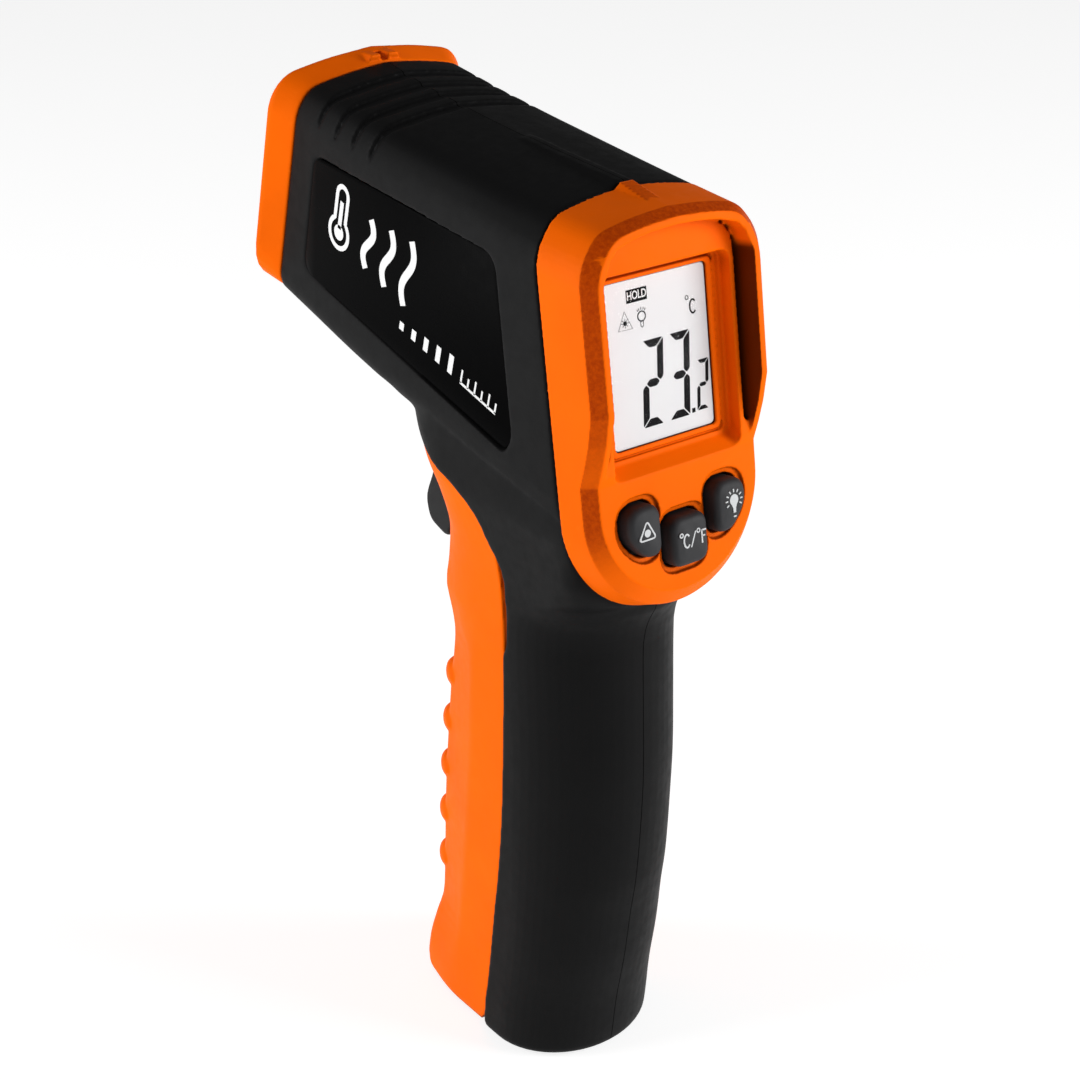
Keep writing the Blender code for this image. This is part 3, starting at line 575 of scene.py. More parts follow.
def metal(name, colour, roughness):
    """Plated or turned metal with faint handling marks."""
    made, tree, shader, place = new_material(name)
    haze = noise(tree, place, 900.0, 5.0, 0.65)
    darker = tuple(channel * 0.8 for channel in colour)
    tree.links.new(mixed(tree, haze, darker, colour), shader.inputs["Base Color"])
    tree.links.new(remap(tree, haze, 0.3, 0.7, roughness - 0.08, roughness + 0.1), shader.inputs["Roughness"])
    tree.links.new(raised(tree, haze, 0.15, 0.01), shader.inputs["Normal"])
    shader.inputs["Metallic"].default_value = 1.0
    return made


def printed(name, colour, roughness=0.5):
    """Screen-printed ink: flat colour with a slightly uneven film."""
    made, tree, shader, place = new_material(name)
    film = noise(tree, place, 5200.0, 3.0)
    darker = tuple(channel * 0.85 for channel in colour)
    tree.links.new(mixed(tree, film, darker, colour), shader.inputs["Base Color"])
    tree.links.new(raised(tree, film, 0.2, 0.005), shader.inputs["Normal"])
    shader.inputs["Roughness"].default_value = roughness
    shader.inputs["Specular IOR Level"].default_value = 0.08
    return made


def board_material():
    """Green solder mask over faint copper tracks."""
    made, tree, shader, place = new_material("circuit_board")
    tracks = tree.nodes.new("ShaderNodeTexVoronoi")
    tracks.feature = "DISTANCE_TO_EDGE"
    tracks.distance = "EUCLIDEAN"
    tracks.inputs["Scale"].default_value = 420.0
    tree.links.new(place, tracks.inputs["Vector"])
    line = remap(tree, tracks.outputs["Distance"], 0.03, 0.07, 1.0, 0.0)
    tree.links.new(mixed(tree, line, (0.008, 0.09, 0.03), (0.03, 0.2, 0.06)), shader.inputs["Base Color"])
    tree.links.new(raised(tree, line, 0.4, 0.02), shader.inputs["Normal"])
    shader.inputs["Roughness"].default_value = 0.35
    return made


def cell_material():
    """Cell wrapper: a dark blue sleeve with one pale band."""
    made, tree, shader, place = new_material("cell_wrap")
    split = tree.nodes.new("ShaderNodeSeparateXYZ")
    tree.links.new(place, split.inputs["Vector"])
    band = tree.nodes.new("ShaderNodeMath")
    band.operation = "COMPARE"
    band.inputs[1].default_value = 0.048
    band.inputs[2].default_value = 0.004
    tree.links.new(split.outputs["Z"], band.inputs[0])
    film = noise(tree, place, 300.0)
    base = mixed(tree, film, (0.02, 0.05, 0.16), (0.03, 0.075, 0.22))
    tree.links.new(mixed(tree, band.outputs[0], base, (0.62, 0.64, 0.66)), shader.inputs["Base Color"])
    tree.links.new(remap(tree, film, 0.3, 0.7, 0.22, 0.34), shader.inputs["Roughness"])
    return made


def window_material():
    """Clear acrylic: only its surface shine shows."""
    made, tree, shader, place = new_material("clear_window")
    haze = noise(tree, place, 700.0, 4.0)
    shader.inputs["Base Color"].default_value = (0.02, 0.02, 0.02, 1.0)
    shader.inputs["Alpha"].default_value = 0.02
    tree.links.new(remap(tree, haze, 0.3, 0.7, 0.03, 0.07), shader.inputs["Roughness"])
    return made


def display_material():
    """Liquid crystal's pale reflector, with a fine sparkle and a little light from behind."""
    made, tree, shader, place = new_material("display_field")
    sparkle = noise(tree, place, 9000.0, 2.0)
    cloud = noise(tree, place, 90.0, 2.0)
    pale = mixed(tree, sparkle, (0.6, 0.605, 0.615), (0.68, 0.685, 0.695))
    tree.links.new(mixed(tree, remap(tree, cloud, 0.3, 0.7, 0.0, 0.35), pale, (0.7, 0.705, 0.7)),
                   shader.inputs["Base Color"])
    shader.inputs["Roughness"].default_value = 0.5
    shader.inputs["Emission Color"].default_value = (0.9, 0.93, 1.0, 1.0)
    shader.inputs["Emission Strength"].default_value = 0.06
    return made


def lens_material():
    """Coated infrared lens: dark, with a violet sheen in its reflections."""
    made, tree, shader, place = new_material("infrared_lens")
    haze = noise(tree, place, 260.0)
    tree.links.new(mixed(tree, haze, (0.055, 0.04, 0.06), (0.1, 0.075, 0.1)), shader.inputs["Base Color"])
    shader.inputs["Metallic"].default_value = 0.7
    tree.links.new(remap(tree, haze, 0.3, 0.7, 0.1, 0.18), shader.inputs["Roughness"])
    shader.inputs["Coat Weight"].default_value = 0.6
    return made


BLACK = moulded("black_shell", (0.0066, 0.0066, 0.0068), (0.035, 0.035, 0.036), 0.5, edge=0.0, specular=0.05)
# The orange's band colour is a painted shade for the housing's bevel, and its recesses get painted shade.
ORANGE = moulded("orange_plastic", (1.0, 0.142, 0.0006), (1.0, 0.2, 0.01), 0.45, grain=3000.0, strength=0.3,
                 edge=0.3, specular=0.02, occlusion_shade=0.95, band=(0.42, 0.042, 0.001))
FRONT_BLACK = moulded("front_black", (0.006, 0.006, 0.0062), (0.02, 0.02, 0.02), 0.55, depth=0.03,
                      specular=0.1)
LABEL = moulded("label_gloss", (0.0008, 0.0008, 0.0009), (0.004, 0.004, 0.004), 0.3, spread=0.04,
                grain=1500.0, depth=0.004, strength=0.2, edge=0.0, specular=0.012)
RUBBER = moulded("key_rubber", (0.026, 0.026, 0.028), (0.07, 0.07, 0.073), 0.58, grain=4200.0, strength=0.45,
                 specular=0.2)
TRIGGER_BLACK = moulded("trigger_black", (0.009, 0.009, 0.0095), (0.05, 0.05, 0.052), 0.45, specular=0.12)
TRAY_BLACK = moulded("tray_black", (0.014, 0.014, 0.0145), (0.03, 0.03, 0.03), 0.55)
SWITCH_BLACK = moulded("switch_black", (0.02, 0.02, 0.02), (0.04, 0.04, 0.04), 0.45)
CHIP = moulded("chip", (0.016, 0.016, 0.017), (0.03, 0.03, 0.03), 0.5)
BUZZER = moulded("buzzer", (0.02, 0.02, 0.021), (0.04, 0.04, 0.04), 0.4)
ACRYLIC = moulded("light_guide", (0.78, 0.79, 0.78), (0.85, 0.85, 0.85), 0.3, strength=0.1)
STRIP = moulded("contact_strip", (0.12, 0.1, 0.14), (0.2, 0.18, 0.2), 0.6)
MEMBRANE = moulded("key_membrane", (0.28, 0.28, 0.29), (0.35, 0.35, 0.35), 0.62)
STEEL = metal("steel", (0.62, 0.62, 0.6), 0.3)
ALUMINIUM = metal("aluminium", (0.75, 0.75, 0.76), 0.34)
SENSOR_CAN = metal("sensor_can", (0.68, 0.66, 0.6), 0.25)
BRASS = metal("brass", (0.72, 0.52, 0.2), 0.28)
BOARD = board_material()
CELL = cell_material()
WINDOW = window_material()
FIELD = display_material()
LENS = lens_material()
WHITE_INK = printed("white_ink", (0.86, 0.86, 0.86))
GREY_INK = printed("key_ink", (0.62, 0.63, 0.64))
SEGMENT_INK = printed("segment_ink", (0.004, 0.004, 0.005), 0.7)
FAINT_INK = printed("faint_ink", (0.07, 0.07, 0.075), 0.7)


# ---------------------------------------------------------------- shells

def barrel_section(half_width, top, fall, drop, shoulder, bend, bottom=BARREL_UNDERSIDE, inset=0.0):
    """Section of the barrel: a low roof with bevelled shoulders over straight sides."""
    width = half_width - inset
    crown = top - inset
    points = ((0, crown), (0.45 * width, crown - 0.36 * fall), (shoulder * width, crown - fall),
              (width, crown - fall - drop), (width, bottom + inset), (0, bottom + inset))
    return mirrored(bent(points, (3.0, 2.4, 2.6, bend)) + [points[-1]])


BARREL_FORMS = [eased([(row[0], row[column]) for row in reversed(BARREL_STATIONS)]) for column in range(1, 8)]


def barrel_values(reach):
    """Rake, then the values of barrel_section, at a distance along the barrel."""
    return [form(reach) for form in BARREL_FORMS]


def barrel_solid(name, inset=0.0, overrun=0.0, steps=44):
    """The barrel's outer form, or the space inside it, run past both of its ends."""
    rings = []
    front, back = BARREL_STATIONS[0][0], BARREL_STATIONS[-1][0]
    for step in range(steps + 1):
        reach = front + (back - front) * step / steps
        rake, *values = barrel_values(reach)
        reach += overrun if step == 0 else -overrun if step == steps else 0.0
        outline = barrel_section(*values, inset=inset)
        rings.append([BARREL_ALONG @ Vector((x, up, reach + rake * up)) for x, up in outline])
    return loft(name, rings)


GRIP_FORMS = {name: eased(table) for name, table in (
    ("rear", REAR_LINE), ("width", HALF_WIDTH), ("depth", BACK_DEPTH), ("crease", CREASE_LINE),
    ("corner", CORNER_LINE), ("corner_x", CORNER_X), ("crease_reach", CREASE_REACH))}


# How far the room inside the grip runs back, through the shells' open rear.
ROOM_OVERRUN = 3.5


def grip_section(level, inset=0.0, narrow=0.0):
    """Section of the grip with its door: a rounded back, flat sides, a crease and a bulging front."""
    form = {name: curve(level) for name, curve in GRIP_FORMS.items()}
    rear = form["rear"]
    lift = level - BASE_Z
    tuck = FOOT_ROUNDING - math.sqrt(max(0.0, FOOT_ROUNDING ** 2 - max(0.0, FOOT_ROUNDING - lift) ** 2))
    width = form["width"] - inset - narrow - tuck
    below = level - POD_CENTRE_Z
    radius = POD_RADIUS - inset
    flat = math.sqrt(max(0.0, radius * radius - below * below)) if level > POD_CENTRE_Z - radius else 0.0
    flat = min(flat, width - 0.3)
    rear += inset + tuck
    corner = (form["corner_x"] - 0.9 * inset - tuck, form["corner"] - inset - tuck)
    crease = (width - 0.2, form["crease"] - 0.3 * inset)
    opening = ROOM_OVERRUN if inset and flat > 0 else 0.0
    half = [(0, rear - opening), (flat, rear - opening)]
    for turn in turns(math.pi / 2, 13):
        across = flat + 0.1 + (width - flat - 0.1) * math.sin(turn)
        half.append((across, rear + form["depth"] * (1 - math.cos(turn))))
    front = [(corner[0] * share, corner[1] + FRONT_BULGE * (1 - share * share))
             for share in (0.8, 0.6, 0.4, 0.2, 0.0)]
    half += corner_arc(half[-1], crease, corner, form["crease_reach"])
    half += corner_arc(crease, corner, front[0], 1.6)
    return mirrored(half + front)


def levels_between(low, high, step):
    count = max(1, round((high - low) / step))
    return [low + (high - low) * index / count for index in range(count + 1)]


def grip_solid(name, inset=0.0, narrow=0.0):
    levels = levels_between(BASE_Z, BASE_Z + FOOT_ROUNDING, 0.4)[:-1]
    levels += levels_between(BASE_Z + FOOT_ROUNDING, -48, 2.0)[:-1] + levels_between(-48, -33, 0.6)[:-1]
    levels += levels_between(-33, -14, 1.5)
    rings = [[Vector((x, y, level)) for x, y in grip_section(level, inset, narrow)] for level in levels]
    return loft(name, rings)


def grip_space(name):
    """The room inside the grip and the door."""
    rings = [[Vector((x, y, level)) for x, y in grip_section(level, WALL)]
             for level in levels_between(BASE_Z + WALL, -12, 4.0)]
    return loft(name, rings)


def half_space(name, side, start):
    """Everything on one side of the centre plane from the start onward."""
    return prism(name, rectangle(90, 120, (35, -50)), (side * start, side * 40), SIDEWAYS)


RIDGE_HALF = 2.3
RIDGE_FLAT = 1.2
RIDGE_TIP = 43.0
RIDGE_REAR = 9.0
RIDGE_TOP = ((RIDGE_REAR, 22.2), (15.0, 22.0), (32.0, 18.75), (38.0, 17.75), (RIDGE_TIP, 16.0))


def sight_ridge(front, rear):
    """Low ridge along the top from the front to the rear distance, rounded off at its tip."""
    rings = []
    for step in range(25):
        reach = front + (rear - front) * step / 24
        tip = math.sqrt(min(1.0, max(0.02, (RIDGE_TIP - reach) / 4.0)))
        top = along(reach, RIDGE_TOP)
        half, flat = RIDGE_HALF * tip, RIDGE_FLAT * tip
        ring = ((-half - 0.8, top - 2.4), (-half, top - 0.85), (-flat, top), (flat, top), (half, top - 0.85),
                (half + 0.8, top - 2.4))
        rings.append([BARREL_ALONG @ Vector((x, up, reach)) for x, up in ring])
    return loft("sight_ridge", rings)


def trigger_slot(outline):
    """Opening for the trigger, with the outline given from the side."""
    return prism("trigger_slot", outline, (-SLOT_HALF_WIDTH, SLOT_HALF_WIDTH), SIDEWAYS)


def front_region(name, edge, shift, foot):
    """Everything in front of the grip's side edge, over the whole width, down to the foot below the hinge."""
    outline = [(y + shift, z - shift) for y, z in smooth_path(edge, 4)]
    outline += [(DOOR_HINGE[0], foot), (75.0, BELOW_BASE), (75.0, -18.0)]
    return prism(name, outline, (-25, 25), SIDEWAYS)


LABEL_CORNERS = ((70.4, 1.4), (21.0, 9.7), (9.9, -16.4), (11.0, -19.9), (70.0, -20.1))


def label_outline(inset=0.0):
    """Side panel: a slanting quadrilateral with rounded corners, in barrel coordinates."""
    outline = rounded(LABEL_CORNERS, (2.6, 3.0, 1.4, 1.6, 3.0), 8)
    return grown(outline, -inset) if inset else outline


GROOVES = ((71.7, 6.0), (66.6, 6.3), (61.8, 7.0), (56.6, 7.6))
GROOVE_DEPTH = 0.6
GROOVE_FRONT = 0.35
GROOVE_RAMP = 2.4


def grip_groove(side, reach, foot):
    """Cutter for one groove over the barrel's shoulder: a steep front wall and a long ramp behind it."""
    rake, *values = barrel_values(reach)
    outline = barrel_section(*values)
    path = [Vector(point) for point in outline[:len(outline) // 2] if point[1] > foot + 0.4]
    path.append(Vector((values[0], foot)))
    path = [path[0] - Vector((0.6, 0))] + path
    total = sum((b - a).length for a, b in zip(path, path[1:]))
    rings = []
    done = 0.0
    for index, point in enumerate(path):
        ahead = path[min(index + 1, len(path) - 1)]
        behind = path[max(index - 1, 0)]
        if index:
            done += (point - behind).length
        run = (ahead - behind).normalized()
        out = Vector((-run.y, run.x))
        share = done / total
        narrowing = fade(share, 0.45, 1.0)
        tip = math.sqrt(max(0.0, 1 - max(0.0, (share - 0.94) / 0.06) ** 2))
        ramp = (0.55 + (GROOVE_RAMP - 0.55) * narrowing) * max(0.25, tip)
        depth = GROOVE_DEPTH * max(0.2, tip)
        here = reach + rake * point.y - 1.2 * share * share
        ring = []
        for aft, deep in ((GROOVE_FRONT * max(0.4, tip), 0.8), (GROOVE_FRONT * 0.8 * max(0.4, tip), -depth),
                          (0.0, -depth * 1.05), (-ramp, -0.02), (-ramp, 0.8)):
            place = point + out * deep
            ring.append(BARREL_ALONG @ Vector((side * place.x, place.y, here + aft)))
        rings.append(ring)
    return loft("groove", rings)


def post_places():
    """Each shell screw's place seen from the side, how far out its post reaches and where its head sits."""
    places = []
    for reach, up in BARREL_POSTS:
        point = AIM * reach + AIM_UP * up
        places.append(((point.y, point.z), 16.2, 13.2))
    return places + [(place, 12.2, 9.4) for place in GRIP_POSTS]


def add_posts(shell, side):
    """Screw posts: blind in the left shell, through and counterbored in the right one."""
    for place, reach, head in post_places():
        join(shell, cylinder("post", 3.1, (side * GAP, side * reach), place, SIDEWAYS, segments=24))
        if side < 0:
            cut(shell, cylinder("pilot", 1.5, (0, -head + 1.5), place, SIDEWAYS, segments=24))
        else:
            cut(shell, cylinder("clearance", 1.5, (0, 25), place, SIDEWAYS, segments=24))
            cut(shell, cylinder("counterbore", 2.7, (head - 2.4, 25), place, SIDEWAYS, segments=40))


def add_hinge_arm(shell, side):
    """Arm inside the grip's foot that carries one end of the door's hinge."""
    y, z = DOOR_HINGE
    arm = [(y + 1.7 * math.cos(turn), z + 1.5 * math.sin(turn))
           for turn in [math.pi * (1 + step / 12) for step in range(13)]]
    arm += [(y + 1.7, z + 5.8), (20.5, z + 5.8), (20.5, z + 3.4), (y - 1.7, z + 3.4)]
    join(shell, prism("arm", arm, (side * 10.2, side * 12.3), SIDEWAYS))
    join(shell, prism("foot", rectangle(2.2, 1.2, (23.0, z + 4.6)), (side * 12.0, side * 14.3), SIDEWAYS))
    cut(shell, cylinder("bearing", 1.45, (side * 9, side * 12.8), DOOR_HINGE, SIDEWAYS, segments=24))


# How far the shells and the door run into the gap between them before softening draws their edges back.
EDGE_SPARE = 0.2
# How far each half shell runs past the centre plane while its edges are softened, and where it is then cut.
SEAM_SPARE = 1.2
SEAM_HALF = 0.07
# Where the barrel's underside runs into the grip, seen from the side.
FLANK = ((46.0, -17.5), (36.0, -22.0), (26.0, -26.0), (20.5, -28.6))


def build_shells():
    """Left and right black shells: barrel and grip, split on the centre plane."""
    body = grip_solid("shell_body")
    cut(body, front_region("door_room", SHELL_EDGE, EDGE_SPARE, BELOW_BASE))
    ridge = sight_ridge(RIDGE_TIP - 0.1, 14.0)
    boolean(ridge, "INTERSECT", barrel_solid("ridge_room", -1.2))
    join(body, barrel_solid("barrel"), ridge)
    cut(body, barrel_solid("barrel_room", WALL, 2.0, 8), grip_space("grip_room"))
    cut(body, trigger_slot(rectangle(10.0, 9.0, (40.5, -22.0))))
    edge = smooth_path(SHELL_EDGE, 3)

    def near_edge(points):
        return fade(away_from(points[:, 1:], edge), 0.5, 1.6) * (np.abs(points[:, 0]) > 9.0)

    def near_flank(points):
        """Where the barrel's wall turns into the grip's, but not the wall's own free edge."""
        weight = fade(away_from(points[:, 1:], FLANK), 2.5, 7.0) * fade(-np.abs(points[:, 0]), -15.0, -12.5)
        return weight * (1.0 - fade(away_from(points[:, 1:], edge), 1.6, 3.6))

    for name, side in (("left", -1), ("right", 1)):
        shell = duplicate(body, f"{name}_shell_moulding")
        boolean(shell, "INTERSECT", half_space("half", side, -SEAM_SPARE))
        cut(shell, prism("label_recess", label_outline(), (side * 16.6, side * 20), BARREL_SIDEWAYS))
        for reach, foot in GROOVES:
            cut(shell, grip_groove(side, reach, foot))
        add_posts(shell, side)
        add_hinge_arm(shell, side)
        soften(shell, 0.3, 2)
        relax(shell, near_flank, 60)
        relax(shell, near_edge, 8)
        thin(shell, 0.35)
        relax(shell, lambda p: np.ones(len(p)), 2)
        boolean(shell, "INTERSECT", half_space("crisp_half", side, SEAM_HALF))
        dress(shell.data, BLACK)
        shell.data.shade_smooth()
        shell.data.set_sharp_from_angle(angle=math.radians(50))
        hand_over(shell, "casing", f"{name}_shell")
    bpy.data.objects.remove(body)


# ---------------------------------------------------------------- door

def finger_rib(level):
    """One rounded rib across the door's front, with domed ends."""
    centre_y = GRIP_FORMS["corner"](level) - 0.5
    reach = GRIP_FORMS["corner_x"](level) + 0.9
    rings = []
    for step in range(37):
        share = -1.0 + 2.0 * step / 36
        radius = RIB_RADIUS * math.sqrt(max(0.03, 1 - max(0.0, (abs(share) - 0.8) / 0.2) ** 2))
        forward = FRONT_BULGE * (1 - share * share) - 0.8 * max(0.0, abs(share) - 0.8) / 0.2
        rings.append([Vector((share * reach, centre_y + forward + radius * math.cos(turn),
                              level + radius * math.sin(turn)))
                      for turn in turns(2 * math.pi, 24)[:-1]])
    return loft("finger_rib", rings)


def heel_cutter():
    """Takes off the door's lower rear corner outside an arc about its hinge, so that it can swing."""
    y, z = DOOR_HINGE
    radius = 3.3
    arc = [(y - radius * math.sin(turn), z - radius * math.cos(turn))
           for turn in turns(math.pi / 2, 12)]
    return prism("heel", arc + [(y - 8, z), (y - 8, z - 8), (y, z - 8)], (-25, 25), SIDEWAYS)


def build_door():
    """Orange battery door: the front of the grip, forked round the trigger, with five finger ribs."""
    door = grip_solid("battery_door_moulding", 0.0, DOOR_INSET)
    for index in range(RIB_COUNT):
        join(door, finger_rib(RIB_TOP - RIB_PITCH * index))
    cut(door, grip_space("door_room"))
    boolean(door, "INTERSECT", front_region("door_region", DOOR_EDGE, GAP - EDGE_SPARE, BASE_Z - 1))
    flange = grip_solid("flange", 1.5)
    cut(flange, grip_space("flange_room"))
    pull = [(18.9, -38.5), (19.3, -37.6), (22.5, -37.6), (22.5, -54.0), (19.4, -54.0), (18.9, -52.0)]
    boolean(flange, "INTERSECT", prism("pull", [(y + 0.4, z) for y, z in pull], (-25, 25), SIDEWAYS))
    join(door, flange)
    cut(door, barrel_solid("barrel_clearance", -GAP, 2.0))
    cut(door, trigger_slot(rectangle(15.0, 20.0, (50.0, -27.5))), heel_cutter())
    for side in (-1, 1):
        join(door, cylinder("peg", 1.15, (side * 10.8, side * 14.0), DOOR_HINGE, SIDEWAYS, segments=24))
    soften(door, 0.28, 4, 0.35, ORANGE)
    hand_over(door, "door", "battery_door")


# ---------------------------------------------------------------- display housing

def mark_painted_shade(piece, low, high):
    """Marks where painted shade goes: the bevel, which faces between outward and sideways, and the hood's
    inner walls.
    """
    mesh = piece.data
    normals = vertex_rows(mesh, "normal")
    # Painted shade on the bevel band, kept off the display face.
    facing = normals @ np.array(FACE_OUT)
    weight = fade(np.abs(facing - (low + high) / 2), (high - low) / 2 - 0.08, (high - low) / 2 + 0.08)
    weight *= fade(-normals @ np.array(FACE_UP), 0.05, 0.45)
    places = (vertex_rows(mesh, "co") - np.array(ORIGIN)) / MM
    across, up = np.abs(places[:, 0]), places @ np.array(FACE_UP)
    weight[(across < 14.6) & (up < 20.6 - 0.012 * across ** 2) & (up > -17.6)] = 0.0
    # Painted shade on the upper part of the hood's inner walls.
    inward = -normals[:, 0] * np.sign(places[:, 0])
    wall = fade(-inward, -0.75, -0.3) * fade(-across, -14.4, -13.7) * fade(up, 15.0, 19.0)
    wall *= fade(-up, 12.0, 15.5)
    for name, values in (("painted_shade_band", weight), ("painted_shade_wall", 0.9 * wall)):
        marks = mesh.attributes.new(name, "FLOAT", "POINT")
        marks.data.foreach_set("value", values.astype(np.float32))


def housing_outline(half_width, top, centre_v, shoulders):
    """Housing seen from behind: an arched top with bevelled shoulders, straight sides and a round foot."""
    first, second, third = shoulders
    points = ((0, top), (0.42 * half_width, top - first), (0.78 * half_width, top - second),
              (half_width, top - third), (half_width, -5.0))
    half = bent(points, (4.0, 2.2, 3.2))
    half += [(half_width, v) for v in (4.0, 0.0, -3.0, -5.0, -7.3, -9.6, -11.3, -13.0, -14.7, -16.4)]
    for turn in turns(math.pi / 2, 24):
        half.append((half_width * math.cos(turn), centre_v - half_width * math.sin(turn)))
    return mirrored(half)


def housing_body():
    """Outer form of the housing: straight walls and a bevel up to the rim, which slopes to the key plate."""
    rings = []
    for depth, width, top, centre, shoulders in (
            (None, 18.0, 25.45, -22.3, (0.7, 2.05, 7.0)), (2.1, 17.45, 23.05, -21.5, (0.5, 1.7, 6.6)),
            (0.0, 15.7, 21.7, -20.6, (0.35, 1.4, 6.2))):
        outline = housing_outline(width, top, centre, shoulders)
        rings.append([FACE @ Vector((x, v, HOOD_BACK if depth is None else along(v, RIM_LINE) - depth))
                      for x, v in outline])
    return loft("display_housing_moulding", rings, rungs=True)


SIDE_KEY = ((5.5, -20.7), (11.5, -20.7), (12.0, -25.2), (8.7, -29.2), (5.5, -28.9))
MIDDLE_KEY = ((-3.6, -24.2), (3.6, -24.2), (3.6, -32.3), (-3.6, -32.3))


def key_outlines():
    """The three keys' outlines on the display's plane."""
    right = rounded(SIDE_KEY, (2.4, 3.0, 2.2, 2.2, 2.0), 7)
    return {"laser_key": [(-x, v) for x, v in reversed(right)],
            "unit_key": rounded(MIDDLE_KEY, 2.2, 7),
            "backlight_key": right}


PANEL_CORNER = ((13.5, -17.0), (13.45, 11.0), (13.3, 15.2), (12.6, 17.2), (11.2, 18.5), (9.4, 19.2))
BOARD_SCREWS = ((-8.5, 18.6), (8.5, 18.6), (-13.4, -15.6), (13.4, -15.6))


def hood_channels():
    """Deep gap between the display panel and the hood, down both sides and round the upper corners."""
    hood = [(HOOD_INNER, 14.0), (HOOD_INNER, -13.2), (13.6, -12.4)]
    channels = []
    for side in (-1, 1):
        panel = smooth_path(PANEL_CORNER[1:], 4)
        outline = [(13.5, -9.0)] + panel + [(9.4, 19.2), (11.4, 18.9), (12.9, 17.6)] + hood
        outline = [(side * x, v) for x, v in outline]
        channels.append(prism("channel", outline, (-1.0, 9), FACE))
    return channels


def build_housing():
    """Orange display housing: hood, display panel and key plate in one moulding."""
    housing = housing_body()
    hood_points = ((0, 20.5), (6.3, 20.2), (11.6, 18.95), (HOOD_INNER, 14.6), (HOOD_INNER, -17.5))
    hood_half = bent(hood_points, (4.0, 2.0, 2.4)) + [(HOOD_INNER, -17.5), (0, -17.5)]
    cut(housing, prism("hood_room", mirrored(hood_half), (PANEL_FRONT, 9), FACE))
    cut(housing, *hood_channels())
    recess = [[FACE @ Vector((x, v, n))
               for x, v in rounded(rectangle(12.6, (top - bottom) / 2, (0, (top + bottom) / 2)), 1.8)]
              for n, bottom, top in ((RECESS_FLOOR, -14.6, 14.2), (2.4, -16.8, 14.4), (9.0, -16.8, 14.4))]
    cut(housing, loft("recess", recess))
    seam = prism("seam", rounded(rectangle(11.5, 13.95), 1.2), (RECESS_FLOOR - 0.5, 1.0), FACE)
    cut(seam, prism("seam_core", rounded(rectangle(11.05, 13.5), 1.0), (-3, 3), FACE))
    cut(housing, seam)
    cut(housing, prism("window_opening", rounded(rectangle(*DISPLAY_HALF), 0.7), (-8, 8), FACE))
    cut(housing, prism("display_pocket", rectangle(11.5, 14.6), (-8, -0.75), FACE))
    cut(housing, prism("key_pocket", rounded(rectangle(13.2, 7.6, (0, -25.8)), 6.0), (-8, -0.5), FACE))
    for outline in key_outlines().values():
        cut(housing, prism("key_ledge", grown(outline, 1.35), (PLATE_FRONT - 0.65, 8), FACE))
        cut(housing, prism("key_hole", grown(outline, 0.4), (-8, 8), FACE))
    ridge = sight_ridge(18.0, RIDGE_REAR - 0.4)
    cut(ridge, prism("joint", rectangle(30.0, 30.0), (-40.0, HOOD_BACK), FACE))
    join(housing, ridge)
    for x, v in BOARD_SCREWS:
        join(housing, cylinder("post", 1.9, (-6.0, -4.6), (x, v), FACE, segments=24))
        cut(housing, cylinder("pilot", 1.15, (-8, -4.0), (x, v), FACE, segments=24))
    soften(housing, 0.2, 3, 0.3, ORANGE)
    mark_painted_shade(housing, 0.35, 0.85)
    hand_over(housing, "casing", "display_housing")


# ---------------------------------------------------------------- keys, display and print

def add_plate(bm, outline, span, directions):
    """Adds a flat closed plate with the outline given."""
    rows = [[bm.verts.new(world(directions @ Vector((a, b, c)))) for a, b in outline] for c in span]
    bridge(bm, rows[0], rows[1])
    bm.faces.new(reversed(rows[0]))
    bm.faces.new(rows[1])


def band(line, width, closed=False):
    """Outline, or outer and inner outlines, of a line of the width given drawn along points."""
    count = len(line)
    outer, inner = [], []
    for index, point in enumerate(line):
        behind = Vector(line[index - 1] if closed or index else point)
        ahead = Vector(line[(index + 1) % count] if closed or index < count - 1 else point)
        run = (ahead - behind).normalized()
        side = Vector((-run.y, run.x)) * (width / 2)
        outer.append(tuple(Vector(point) + side))
        inner.append(tuple(Vector(point) - side))
    return outer, inner


def add_line(bm, line, width, span, directions, closed=False):
    """Adds a drawn line as a thin closed solid."""
    outer, inner = band(line, width, closed)
    if not closed:
        add_plate(bm, outer + inner[::-1], span, directions)
        return
    rows = [[bm.verts.new(world(directions @ Vector((a, b, c)))) for a, b in outline]
            for outline in (outer, inner) for c in span]
    outer_low, outer_high, inner_low, inner_high = rows
    for first, second in ((outer_low, outer_high), (outer_high, inner_high), (inner_high, inner_low),
                          (inner_low, outer_low)):
        bridge(bm, first, second)


def build_keys():
    """Grey rubber key caps with rounded, slightly domed faces."""
    stages = [(-3.7, -1.0), (-2.1, -1.0), (-2.1, 0.8), (-0.8, 0.8), (-0.8, 0.0), (2.9, 0.0)]
    edge = 1.25
    for turn in turns(math.pi / 2, 7)[1:]:
        stages.append((KEY_TOP - 0.2 - edge * (1 - math.sin(turn)), -edge * (1 - math.cos(turn))))
    stages += [(KEY_TOP - 0.08, -1.9), (KEY_TOP, -2.9)]
    for name, outline in key_outlines().items():
        rings = [[FACE @ Vector((x, v, n)) for x, v in grown(outline, change)] for n, change in stages]
        cap = loft(f"{name}_cap", rings, RUBBER)
        cap.data.set_sharp_from_angle(angle=math.radians(50))
        hand_over(cap, name, name)


INK = (KEY_TOP - 0.12, KEY_TOP + 0.03)


